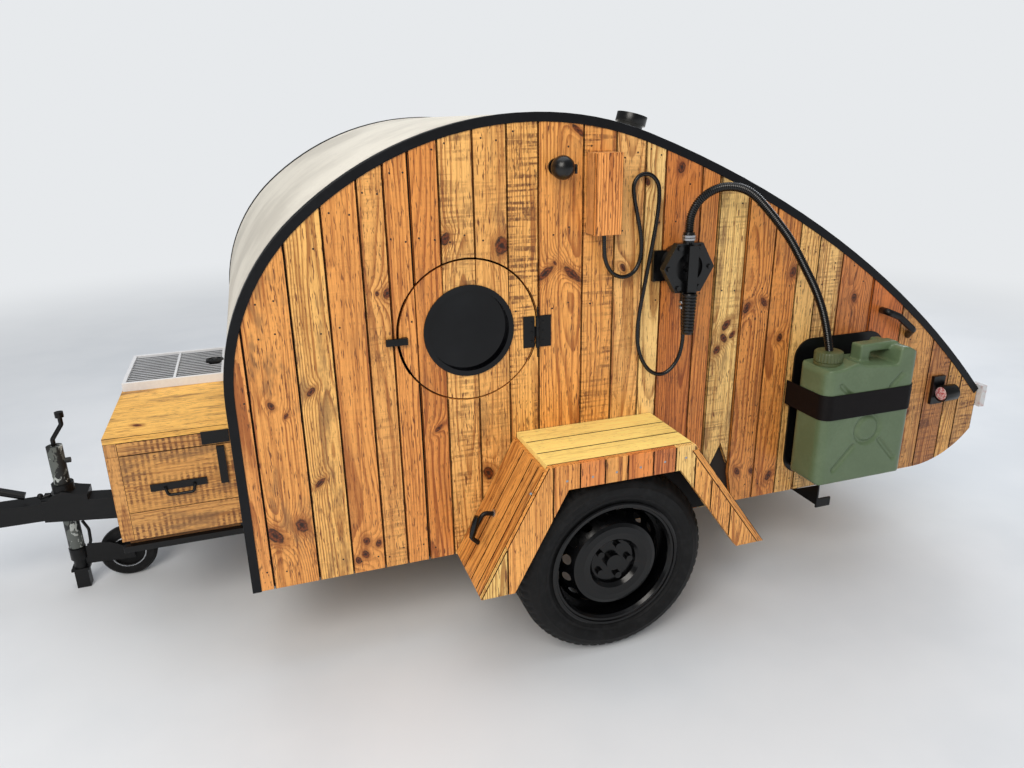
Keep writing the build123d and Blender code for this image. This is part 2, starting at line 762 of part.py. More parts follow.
def build_coupler():
    z = BODY_BOTTOM + POLE_Z
    pole_end = DRAWBAR_X[0]
    pole_start = SOCKET_X + 80
    pole = Pos((pole_start + pole_end) / 2, 0, z) * Rot(0, 90, 0)
    pole = pole * Cylinder(POLE_R, pole_end - pole_start)
    housing = block(
        (HOUSING_X, DRAWBAR_X[0]),
        (1 - DRAWBAR_HALF, DRAWBAR_HALF - 1),
        (BODY_BOTTOM + HOUSING_Z[0], BODY_BOTTOM + HOUSING_Z[1]),
    )
    save("coupler_pole", pole + housing)
    head = Pos(SOCKET_X, 0, z) * Cylinder(HEAD_R, 2 * POLE_R + 6)
    head += Pos(SOCKET_X, 0, z + POLE_R) * Sphere(HEAD_R - 6)
    head += block((SOCKET_X, SOCKET_X + 110), (-POLE_R - 4, POLE_R + 4), (z - 26, z + 32))
    head -= Pos(SOCKET_X, 0, z - POLE_R - 3 + SOCKET_DEPTH / 2) * Cylinder(BALL_R, SOCKET_DEPTH)
    head -= pole
    save("coupler_head", head)
    # Lever line, x and height above the body bottom
    lever_line = [(-930, HOUSING_Z[1]), (-930, 140), (-900, 168), (-688, 82)]
    path = FilletPolyline(*[(x, 0, BODY_BOTTOM + high) for x, high in lever_line], radius=14)
    section = Plane(origin=path @ 0, z_dir=path % 0)
    lever = sweep(section * Circle(10), path)
    end = Plane(origin=path @ 1, z_dir=path % 1)
    lever += end * Pos(0, 0, -70) * Cylinder(13, 140)
    save("handbrake_lever", lever)


def build_jockey():
    low, high = JOCKEY_TUBE_Z
    tube = Pos(JOCKEY_X, 0, (low + high) / 2) * Cylinder(JOCKEY_TUBE_R, high - low)
    bore = Pos(JOCKEY_X, 0, (low + high) / 2 - 6) * Cylinder(JOCKEY_INNER_R + FIT, high - low - 12)
    bore += Pos(JOCKEY_X, 0, low) * Cylinder(JOCKEY_INNER_R + FIT, 20)
    stop = Pos(JOCKEY_X + JOCKEY_TUBE_R + 6, 0, BODY_BOTTOM + 188) * Rot(0, 90, 0)
    save("jockey_tube", tube + stop * Cylinder(9, 18) - bore)
    front = JOCKEY_X - 42
    rear = JOCKEY_X + 72
    side = DRAWBAR_HALF + 6
    outline = [
        (front, drawbar_height(front, DRAWBAR_TOP)),
        (rear, drawbar_height(rear, DRAWBAR_TOP)),
        (rear, drawbar_height(rear, DRAWBAR_TOP) + 22),
        (rear - 34, drawbar_height(rear, DRAWBAR_TOP) + 30),
        (JOCKEY_X, BODY_BOTTOM + 96),
        (front, drawbar_height(front, DRAWBAR_TOP) + 12),
    ]
    clamp = plate(polygon_face(outline), -side, side)
    foot = drawbar_height(JOCKEY_X, DRAWBAR_TOP)
    collar = (foot + 5, BODY_BOTTOM + 112)
    middle = Pos(JOCKEY_X, 0, (collar[0] + collar[1]) / 2)
    clamp += middle * Cylinder(JOCKEY_TUBE_R + 9, collar[1] - collar[0])
    clamp += Pos(front - 10, -20, foot + 18) * Rot(0, 75, 0) * Cylinder(5, 34)
    clamp += Pos(front - 24, -20, foot + 22) * Sphere(9)
    clamp -= Pos(JOCKEY_X, 0, foot) * Cylinder(JOCKEY_TUBE_R + FIT, 300)
    save("jockey_clamp", clamp)
    crank_path = [
        (JOCKEY_X, high - 2),
        (JOCKEY_X, high + 22),
        (JOCKEY_X + 34, high + 70),
        (JOCKEY_X + 34, high + 104),
    ]
    path = FilletPolyline(*[(x, 0, up) for x, up in crank_path], radius=9)
    crank = sweep(Plane(origin=path @ 0, z_dir=path % 0) * Circle(7), path)
    crank += Pos(JOCKEY_X + 34, 0, high + 104) * Cylinder(13, 18)
    crank -= Pos(JOCKEY_X, 0, high - 10) * Cylinder(JOCKEY_TUBE_R, 20)
    save("jockey_crank", crank)
    foot_top = 70.0
    leg_top = high - 30
    caster = Pos(JOCKEY_X, 0, (foot_top + leg_top) / 2) * Cylinder(JOCKEY_INNER_R, leg_top - foot_top)
    caster += Pos(JOCKEY_X, 0, foot_top) * Box(56, 48, 8)
    caster += Pos(JOCKEY_X, 0, foot_top / 2) * Box(42, 40, foot_top)
    caster += Pos(JOCKEY_X, 0, (106 + low) / 2 - 1) * Cylinder(JOCKEY_INNER_R + 6, low - 106 - 4)
    wheel_near = JOCKEY_WHEEL_Y - JOCKEY_WHEEL_WIDTH / 2
    wheel_far = JOCKEY_WHEEL_Y + JOCKEY_WHEEL_WIDTH / 2
    axle_z = JOCKEY_WHEEL_R
    arm = polygon_face(
        [
            (JOCKEY_X, axle_z - 9),
            (JOCKEY_X, low - CLEAR),
            (JOCKEY_X + JOCKEY_TUBE_R + CLEAR, low - CLEAR),
            (JOCKEY_X + JOCKEY_TUBE_R + CLEAR + 2, axle_z + 62),
            (JOCKEY_WHEEL_X - 46, axle_z + 56),
            (JOCKEY_WHEEL_X + 22, axle_z + 18),
            (JOCKEY_WHEEL_X + 22, axle_z - 18),
        ]
    )
    caster += plate(arm, wheel_near - CLEAR - 6, wheel_near - CLEAR)
    pin = (wheel_near - CLEAR - 3, wheel_far + CLEAR + 5)
    caster += across(
        JOCKEY_PIN_R, pin[1] - pin[0], JOCKEY_WHEEL_X, (pin[0] + pin[1]) / 2, axle_z
    )
    caster += across(12, 5, JOCKEY_WHEEL_X, wheel_far + CLEAR + 2.5, axle_z)
    release = [(24, 112), (44, 162), (46, 208), (32, 242)]
    path = FilletPolyline(*[(JOCKEY_X + x, 0, z) for x, z in release], radius=24)
    caster += sweep(Plane(origin=path @ 0, z_dir=path % 0) * Circle(5), path)
    save("jockey_caster", caster)
    half_w = JOCKEY_WHEEL_WIDTH / 2
    bore_r = JOCKEY_PIN_R + FIT
    section = [
        (bore_r, -half_w),
        (22, -half_w),
        (24, -8),
        (JOCKEY_WHEEL_R - 38, -8),
        (JOCKEY_WHEEL_R - 35, -half_w + 2),
        (JOCKEY_WHEEL_R - 10, -half_w),
        (JOCKEY_WHEEL_R, -half_w + 12),
        (JOCKEY_WHEEL_R, half_w - 12),
        (JOCKEY_WHEEL_R - 10, half_w),
        (JOCKEY_WHEEL_R - 35, half_w - 2),
        (JOCKEY_WHEEL_R - 38, 8),
        (24, 8),
        (22, half_w),
        (bore_r, half_w),
    ]
    wheel = revolve(polygon_face(section), Axis.Y)
    save("jockey_wheel", Pos(JOCKEY_WHEEL_X, JOCKEY_WHEEL_Y, axle_z) * wheel)


def build_front_box():
    low = BODY_BOTTOM + BOX_BOTTOM
    seam = BODY_BOTTOM + BOX_LID_Z
    top = BODY_BOTTOM + BOX_TOP
    x0, x1 = BOX_X
    box = block((x0, x1), (-BOX_HALF, BOX_HALF), (low, seam))
    box -= block(
        (x0 + BOX_T, x1 - BOX_T), (-BOX_HALF + BOX_T, BOX_HALF - BOX_T), (low + BOX_T, seam + 1)
    )
    save("front_box", box)
    lid_low = seam + 1
    lid = block((x0, x1), (-BOX_HALF, BOX_HALF), (lid_low, top))
    lid -= block(
        (x0 + BOX_T, x1 - BOX_T),
        (-BOX_HALF + BOX_T, BOX_HALF - BOX_T),
        (lid_low - 1, top - BOX_T),
    )
    save("box_lid", lid)
    panel = block((x0 + 4, x1 - 22), (40, BOX_HALF - 2), (top, top + 30))
    tray = block((x0 + 16, x1 - 34), (52, BOX_HALF - 14), (top + 22, top + 31))
    save("lid_panel", panel - tray)
    bar_low = low - FRAME_BAR
    strip = (BODY_BOTTOM + ARM_TOP, low)
    bars = [
        block((x0, x1), (side - FRAME_BAR * (side > 0), side + FRAME_BAR * (side < 0)), (bar_low, low))
        for side in (-BOX_HALF, BOX_HALF)
    ]
    frame = bars[0] + bars[1]
    for x in (x0 + 40, x1 - 75):
        frame += block((x - 20, x + 20), (-BOX_HALF, BOX_HALF), strip)
    save("box_frame", frame)
    y = -BOX_HALF
    pull = block((-254, -98), (y - 5, y), (BODY_BOTTOM + 206, BODY_BOTTOM + 228))
    bail_points = [(-214, 216), (-208, 190), (-138, 190), (-132, 216)]
    path = FilletPolyline(*[(x, y - 9, BODY_BOTTOM + z) for x, z in bail_points], radius=10)
    bail = sweep(Plane(origin=path @ 0, z_dir=path % 0) * Circle(4.5), path)
    latch = block((-60, -38), (y - 10, y), (BODY_BOTTOM + 203, BODY_BOTTOM + BOX_LID_Z - 4))
    save("box_hardware", pull + bail, latch)
    keeper = block((-97, -20), (y - 4, y), (seam + 5, top - 14))
    axis_y = BOX_HALF + KNUCKLE_R + 1
    fixed = []
    moving = [keeper]
    for x in (x0 + 80, x1 - 80):
        for slot in (-1, 0, 1):
            knuckle = Pos(x + slot * 22, axis_y, seam) * Rot(0, 90, 0) * Cylinder(KNUCKLE_R, 21)
            wide = (x + slot * 22 - 10.5, x + slot * 22 + 10.5)
            depth = (BOX_HALF, BOX_HALF + LEAF_T)
            if slot:
                leaf = block(wide, depth, (seam - 30, seam))
                fixed.append(knuckle + leaf)
            else:
                leaf = block(wide, depth, (seam + 1, seam + 30))
                hole = Pos(x, axis_y, seam) * Rot(0, 90, 0) * Cylinder(PIN_R + PIN_CLEAR, 60)
                moving.append(knuckle + leaf - hole)
        pin = Pos(x, axis_y, seam) * Rot(0, 90, 0) * Cylinder(PIN_R, 64)
        fixed[-1] = fixed[-2] + fixed[-1] + pin
        fixed.pop(-2)
    save("lid_hardware", *moving)
    return fixed


def build_can():
    face = -HALF - CAN_STANDOFF
    near = face - CAN_DEPTH
    x0, x1 = CAN_X
    low = BODY_BOTTOM + CAN_BOTTOM
    shoulder = BODY_BOTTOM + CAN_SHOULDER
    top = BODY_BOTTOM + CAN_TOP
    outline = polygon_face(
        [
            (x0 + 12, low),
            (x1 - 12, low),
            (x1, low + 12),
            (x1, top - 45),
            (x1 - 15, top - 25),
            (x1 - 45, top - 9),
            (x1 - 71, top - 7),
            (x1 - 77, top - 15),
            (x1 - 82, shoulder - 6),
            (x0 + 146, shoulder + 4),
            (x0 + 110, shoulder + 16),
            (x0 + 52, shoulder + 1),
            (x0 + 12, shoulder),
            (x0, shoulder - 14),
            (x0, low + 12),
        ]
    )
    plan = Pos((x0 + x1) / 2, (near + face) / 2) * RectangleRounded(x1 - x0, CAN_DEPTH, CAN_CORNER_R)
    can = plate(outline, near, face) & extrude(plan, FAR, dir=(0, 0, 1))
    grip_y = (face - CAN_GRIP_Y[1], face - CAN_GRIP_Y[0])
    can += block((x0 + 156, x0 + 192), grip_y, (shoulder - 20, top))
    can += block((x0 + 156, x1 - 50), grip_y, (top - 25, top))
    save("jerrycan", can)
    neck_x = x0 + 57
    neck_y = face - CAN_DEPTH * 0.47
    cap_top = shoulder + 43
    cap = Pos(neck_x, neck_y, cap_top - 26) * Cylinder(CAP_R, 52)
    save("can_cap", cap - can)
    tall = (BODY_BOTTOM + STRAP_Z[0], BODY_BOTTOM + STRAP_Z[1])
    wall = -HALF - PLATE_T
    outer = block((x0 - STRAP_T, x1 + STRAP_T), (near - STRAP_T, wall), tall)
    inner = block((x0 - FIT, x1 + FIT), (near - FIT, 0), (tall[0] - 1, tall[1] + 1))
    outer = fillet(outer.edges().filter_by(Axis.Z).sort_by(Axis.Y)[:2], CAN_CORNER_R + STRAP_T)
    inner = fillet(inner.edges().filter_by(Axis.Z).sort_by(Axis.Y)[:2], CAN_CORNER_R + FIT)
    save("can_strap", outer - inner)
    back = block((x0 + 20, x1 + 25), (wall, -HALF), (low - 39, top - 4))
    back = fillet(back.edges().filter_by(Axis.Y), 62)
    shelf = block((x0 + 40, x1 - 40), (near + 30, wall), (low - 5, low))
    pads = block((x0 + 60, x1 - 60), (face, wall), (low + 60, top - 120))
    beam = (BODY_BOTTOM - 14, BODY_BOTTOM - 1)
    tip = -HALF - BRACKET_Y
    inside = -RAIL_Y - RAIL_WIDTH / 2
    gusset = polygon_face(
        [
            (inside, beam[0]),
            (inside, beam[1]),
            (-HALF, beam[1]),
            (tip + 6, BODY_BOTTOM + 58),
            (tip + 6, low - 5),
            (tip, low - 5),
            (tip, beam[0]),
        ]
    )
    bracket = Pos(BRACKET_X, 0, 0) * (Plane.YZ * extrude(gusset, 6, dir=(0, 0, 1)))
    bracket += block(
        (BRACKET_X, BRACKET_X + 56), (tip, tip + 6), (BODY_BOTTOM - 23, BODY_BOTTOM + 8)
    )
    save("can_mount", back + shelf + pads + bracket)
    return (neck_x, neck_y, cap_top)


def build_fittings():
    ball_x = BALL_LAMP[0]
    ball_z = BODY_BOTTOM + BALL_LAMP[1]
    ball = Pos(ball_x, -HALF - 50, ball_z) * Sphere(BALL_LAMP_R)
    ball += across(10, 40, ball_x, -HALF - 20, ball_z)
    ball += across(22, 6, ball_x, -HALF - 3, ball_z)
    hook_x = ball_x + BALL_LAMP_R + 9
    ball += block((ball_x, hook_x), (-HALF - 6, -HALF), (ball_z - 8, ball_z + 8))
    ball += across(4, 52, hook_x - 4, -HALF - 26, ball_z + 4)
    ball += Pos(hook_x - 4, -HALF - 52, ball_z - 6) * Cylinder(4, 20)
    save("ball_lamp", off_the_wall(ball))
    outlet = block(
        OUTLET_X,
        (-HALF - OUTLET_DEPTH, -HALF),
        (BODY_BOTTOM + OUTLET_Z[0], BODY_BOTTOM + OUTLET_Z[1]),
    )
    save("outlet_box", outlet)
    foot = Pos(VENT_X, VENT_Y, roof_height(VENT_X, TRIM_T)) * Rot(0, VENT_LEAN, 0)
    vent = foot * Pos(0, 0, -5) * Cylinder(VENT_R - 7, 90)
    vent += foot * Pos(0, 0, 52) * Cylinder(VENT_R, 26)
    save("roof_vent", vent - plate(body_face(TRIM_T), -HALF, HALF))
    z = BODY_BOTTOM + PUMP_Z
    front = -HALF - PUMP_DEPTH
    plate_y = front + PUMP_PLATE_T / 2
    hexagon = Pos(PUMP_X, front + PUMP_PLATE_T, z) * Rot(90, 0, 0)
    body = hexagon * extrude(RegularPolygon(PUMP_R, 6), PUMP_PLATE_T)
    body += across(PUMP_R - 22, PUMP_DEPTH - 10, PUMP_X, -HALF - PUMP_DEPTH / 2 + 5, z)
    body += block((PUMP_X - PUMP_R, PUMP_X - 40), (-HALF - 12, -HALF), (z - 44, z + 44))
    body -= across(42, 20, PUMP_X, front, z)
    for corner in range(6):
        turn = math.radians(corner * 60)
        spot = (PUMP_X + (PUMP_R - 15) * math.cos(turn), z + (PUMP_R - 15) * math.sin(turn))
        body += across(7, 8, spot[0], front - 2, spot[1])
    body += Pos(PUMP_X, plate_y, z + 82) * Cylinder(16, 32)
    body += Pos(PUMP_X, -HALF - PUMP_DRAIN_Y, z - 82) * Cylinder(10, 44)
    save("pump_body", body)
    lever = block((PUMP_X - 13, PUMP_X + 17), (front - 18, front - 12), (z - 70, z + 64))
    lever += across(14, 28, PUMP_X + 2, front - 4, z)
    lever += Pos(PUMP_X - 3, front - 15, z - 128) * Cylinder(15, 118)
    save("pump_lever", lever)
    # Bent bar: x, distance out from the wall, height above the body bottom
    points = [(2050, 0, 608), (2032, 45, 613), (2082, 45, 593), (2148, 45, 543), (2177, 0, 510)]
    path = FilletPolyline(
        *[(x, -HALF - out, BODY_BOTTOM + high) for x, out, high in points],
        radius=[9, 40, 16],
    )
    bar = sweep(Plane(origin=path @ 0, z_dir=path % 0) * Circle(11), path)
    save("grab_handle", off_the_wall(bar))
    low, high = (BODY_BOTTOM + height for height in SIDE_LAMP_Z)
    lamp = block(SIDE_LAMP_X, (-HALF - 12, -HALF), (low, high))
    lamp += Pos(SIDE_LAMP_X[1] - 7, -HALF - 34, (low + high) / 2 - 5) * Rot(0, 90, 0) * Cylinder(29, 56)
    save("side_lamps", off_the_wall(lamp), mirror_y(off_the_wall(lamp)))
    rear_x = tail_tip(TRIM_T).X
    rear = block(
        (rear_x, rear_x + LAMP_DEPTH),
        (-HALF - 20, -WALL_IN),
        (BODY_BOTTOM + REAR_LAMP_Z[0], BODY_BOTTOM + REAR_LAMP_Z[1]),
    )
    rear -= plate(band_face(0, TRIM_LEG), -HALF - TRIM_T, -WALL_IN)
    save("rear_lamps", rear, mirror_y(rear))


def hose(points, diameter, share=0.45):
    """Tube along straight runs joined by arcs as large as the runs allow."""
    spots = [Vector(*point) for point in points]
    radii = []
    for before, here, after in zip(spots, spots[1:], spots[2:]):
        first = here - before
        second = after - here
        turn = math.radians(first.get_angle(second))
        radii.append(share * min(first.length, second.length) / math.tan(turn / 2))
    print("hose radii", [round(radius) for radius in radii])
    path = FilletPolyline(*spots, radius=radii)
    tube = sweep(Plane(origin=path @ 0, z_dir=path % 0) * Circle(diameter / 2), path)
    section = math.pi * diameter**2 / 4
    print("hose length", round(path.length), "volume share", round(tube.volume / (section * path.length), 4))
    return tube


def build_hoses(cap_mouth):
    base = BODY_BOTTOM
    pipe = -HALF - PUMP_DEPTH + PUMP_PLATE_T / 2
    cx, cy, cz = cap_mouth
    water = [
        (PUMP_X, pipe, base + PUMP_Z + 98),
        (PUMP_X, pipe, base + 942),
        (PUMP_X + 5, pipe, base + 968),
        (PUMP_X + 22, pipe - 1, base + 998),
        (PUMP_X + 56, pipe - 2, base + 1024),
        (PUMP_X + 102, pipe - 4, base + 1036),
        (PUMP_X + 152, pipe - 6, base + 1031),
        (PUMP_X + 194, pipe - 9, base + 1012),
        (PUMP_X + 236, pipe - 13, base + 974),
        (PUMP_X + 279, pipe - 18, base + 929),
        (PUMP_X + 325, pipe - 24, base + 877),
        (PUMP_X + 375, pipe - 30, base + 801),
        (PUMP_X + 428, pipe - 37, base + 718),
        (PUMP_X + 470, pipe - 44, base + 622),
        (cx, cy, cz),
    ]
    save("water_hose", hose(water, WATER_HOSE_D))
    y = -HALF - 14
    near = y - 14
    drain = -HALF - PUMP_DRAIN_Y
    supply = [
        (1021, y - 18, base + OUTLET_Z[0]),
        (1021, y - 18, base + 888),
        (1028, y - 14, base + 842),
        (1054, y - 8, base + 806),
        (1093, y - 2, base + 792),
        (1128, y, base + 806),
        (1146, y, base + 846),
        (1145, y, base + 900),
        (1130, y, base + 962),
        (1117, y, base + 1012),
        (1113, y, base + 1050),
        (1133, y - 1, base + 1074),
        (1165, y - 3, base + 1074),
        (1188, y - 7, base + 1048),
        (1189, y - 11, base + 1012),
        (1185, near, base + 968),
        (1174, near - 4, base + 906),
        (1162, near - 4, base + 838),
        (1150, near - 4, base + 766),
        (1140, near, base + 694),
        (1138, y - 6, base + 622),
        (1147, y - 12, base + 558),
        (1179, y - 18, base + 506),
        (1224, y - 26, base + 494),
        (1264, y - 32, base + 536),
        (1276, drain, base + 600),
        (PUMP_X, drain, base + 660),
        (PUMP_X, drain, base + PUMP_Z - 104),
    ]
    save("supply_hose", hose(supply, SUPPLY_HOSE_D))


def main():
    build_walls()
    build_shell()
    hinges = [build_porthole()]
    hinges += build_door()
    hinges.append(build_hatch_hinge())
    build_chassis()
    build_axle()
    build_wheels()
    build_fenders()
    build_coupler()
    build_jockey()
    hinges += build_front_box()
    save("fixed_hinges", *hinges)
    build_fittings()
    build_hoses(build_can())


main()
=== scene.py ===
import json
import math
import random

import bmesh
import bpy
from mathutils import Matrix, Vector


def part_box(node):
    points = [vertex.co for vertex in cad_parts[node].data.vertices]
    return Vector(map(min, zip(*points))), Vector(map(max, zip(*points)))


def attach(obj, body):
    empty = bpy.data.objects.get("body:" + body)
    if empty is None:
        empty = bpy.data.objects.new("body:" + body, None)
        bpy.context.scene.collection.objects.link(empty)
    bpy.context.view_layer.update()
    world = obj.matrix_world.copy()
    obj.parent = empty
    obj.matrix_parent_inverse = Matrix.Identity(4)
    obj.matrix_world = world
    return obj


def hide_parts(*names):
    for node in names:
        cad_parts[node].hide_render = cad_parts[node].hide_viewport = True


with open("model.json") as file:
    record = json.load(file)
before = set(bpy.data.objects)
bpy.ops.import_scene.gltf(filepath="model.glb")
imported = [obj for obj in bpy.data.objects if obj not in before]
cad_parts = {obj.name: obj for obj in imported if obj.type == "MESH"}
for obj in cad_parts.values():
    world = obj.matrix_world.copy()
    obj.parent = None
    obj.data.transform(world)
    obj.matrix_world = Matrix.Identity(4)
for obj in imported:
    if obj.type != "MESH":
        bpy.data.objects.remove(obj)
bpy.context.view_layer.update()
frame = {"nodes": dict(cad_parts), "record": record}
nodes = frame["nodes"]

# Front edge and bottom of the cabin and face of its left planks; places on the side are measured from them
CABIN_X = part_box("edge_trims")[0].x
CABIN_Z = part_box("floor")[0].z
SIDE_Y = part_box("cladding_left")[0].y
SIDES = ((-1, "left"), (1, "right"))
X, Y, Z = (1, 0, 0), (0, 1, 0), (0, 0, 1)

BACKDROP = (0.80, 0.82, 0.84, 1.0)
DAYLIGHT = (232, 236, 240)

# The camera of the photograph
CAMERA_PLACE = (-0.5264, -2.6224, 1.4945)
CAMERA_YAW = 0.32403
CAMERA_PITCH = -0.33368
CAMERA_ROLL = -0.01598
CAMERA_LENS = 26.685
CAMERA_SENSOR = 36


def at(x, out, z, side=-1):
    """Point in the part's frame from a place on the cabin's side and how far it is out from the planks."""
    return Vector((CABIN_X + x, side * (abs(SIDE_Y) + out), CABIN_Z + z))


def add_object(name, data):
    obj = bpy.data.objects.new(name, data)
    bpy.context.scene.collection.objects.link(obj)
    return obj


def make_camera():
    data = bpy.data.cameras.new("camera")
    data.lens = CAMERA_LENS
    data.sensor_width = CAMERA_SENSOR
    camera = add_object("camera", data)
    yaw = Matrix.Rotation(-CAMERA_YAW, 4, "Z")
    pitch = Matrix.Rotation(math.pi / 2 + CAMERA_PITCH, 4, "X")
    roll = Matrix.Rotation(CAMERA_ROLL, 4, "Z")
    camera.matrix_world = Matrix.Translation(CAMERA_PLACE) @ yaw @ pitch @ roll
    bpy.context.scene.camera = camera


# Colours and materials

materials = {}
KNOT_KEYS = ("knot_a", "knot_b", "knot_c", "knot_d")


def srgb(red, green, blue):
    """Linear colour from 0 to 255 screen values."""
    linear = []
    for value in (red, green, blue):
        share = value / 255
        linear.append(share / 12.92 if share <= 0.04045 else ((share + 0.055) / 1.055) ** 2.4)
    return (*linear, 1.0)


class Value:
    """A value inside a material's nodes that takes the signs of arithmetic."""

    def __init__(self, graph, socket):
        self.graph = graph
        self.socket = socket

    def __add__(self, other):
        return self.graph.math("ADD", self, other)

    def __radd__(self, other):
        return self.graph.math("ADD", other, self)

    def __sub__(self, other):
        return self.graph.math("SUBTRACT", self, other)

    def __mul__(self, other):
        return self.graph.math("MULTIPLY", self, other)

    def __truediv__(self, other):
        return self.graph.math("DIVIDE", self, other)


class Graph:
    """Short hand for building the nodes of a material or of the world."""

    def __init__(self, holder):
        holder.use_nodes = True
        self.holder = holder
        self.tree = holder.node_tree

    def put(self, socket, value):
        if isinstance(value, Value):
            self.tree.links.new(value.socket, socket)
        elif value is not None:
            socket.default_value = value

    def node(self, kind, inputs=None, output=0, **settings):
        """One output of a new node; its inputs are given by name or by number."""
        made = self.tree.nodes.new(kind)
        for key, value in settings.items():
            setattr(made, key, value)
        for key, value in (inputs or {}).items():
            self.put(made.inputs[key], value)
        return Value(self, made.outputs[output])

    def math(self, kind, a, b=0.5, clamp=False):
        return self.node("ShaderNodeMath", {0: a, 1: b}, operation=kind, use_clamp=clamp)

    def vector(self, kind, a, b=None):
        output = "Value" if kind == "LENGTH" else "Vector"
        return self.node("ShaderNodeVectorMath", {0: a, 1: b}, output, operation=kind)

    def join(self, x, y, z):
        return self.node("ShaderNodeCombineXYZ", {"X": x, "Y": y, "Z": z})

    def parts(self, whole, kind="ShaderNodeSeparateXYZ"):
        first = self.node(kind, {0: whole})
        return [Value(self, socket) for socket in first.socket.node.outputs]

    def place(self):
        return self.node("ShaderNodeTexCoord", output="Object")

    def attribute(self, name, output="Vector"):
        return self.node("ShaderNodeAttribute", output=output, attribute_name=name)

    def noise(self, vector, scale, detail=3.0, roughness=0.55, distortion=0.0):
        inputs = {"Vector": vector, "Scale": scale, "Detail": detail, "Roughness": roughness}
        return self.node("ShaderNodeTexNoise", {**inputs, "Distortion": distortion}, "Fac")

    def ribs(self, vector, scale):
        return self.node("ShaderNodeTexWave", {"Vector": vector, "Scale": scale}, "Fac", bands_direction="Z")

    def band(self, value, low, high, to_low=0.0, to_high=1.0):
        """Value mapped from one range to another and kept inside it."""
        inputs = {"Value": value, "From Min": low, "From Max": high, "To Min": to_low, "To Max": to_high}
        return self.node("ShaderNodeMapRange", inputs, interpolation_type="SMOOTHSTEP")

    def mix(self, share, a, b, kind="MIX"):
        return self.node("ShaderNodeMix", {0: share, 6: a, 7: b}, 2, data_type="RGBA", blend_type=kind)

    def mix_shader(self, share, a, b):
        return self.node("ShaderNodeMixShader", {0: share, 1: a, 2: b})

    def two_tones(self, value, low, high, first, second):
        return self.mix(self.band(value, low, high), srgb(*first), srgb(*second))

    def bump(self, height, strength, distance):
        return self.node("ShaderNodeBump", {"Height": height, "Strength": strength, "Distance": distance})

    def end(self, name, shader):
        self.put(self.tree.nodes[name].inputs["Surface"], shader)


class Surface(Graph):
    """A material round the Principled shader, filed under its name."""

    def __init__(self, name):
        super().__init__(bpy.data.materials.new(name))
        self.shader = self.tree.nodes["Principled BSDF"]
        materials[name] = self.holder

    def finish(self, **inputs):
        for key, value in inputs.items():
            self.put(self.shader.inputs[key.replace("_", " ")], value)


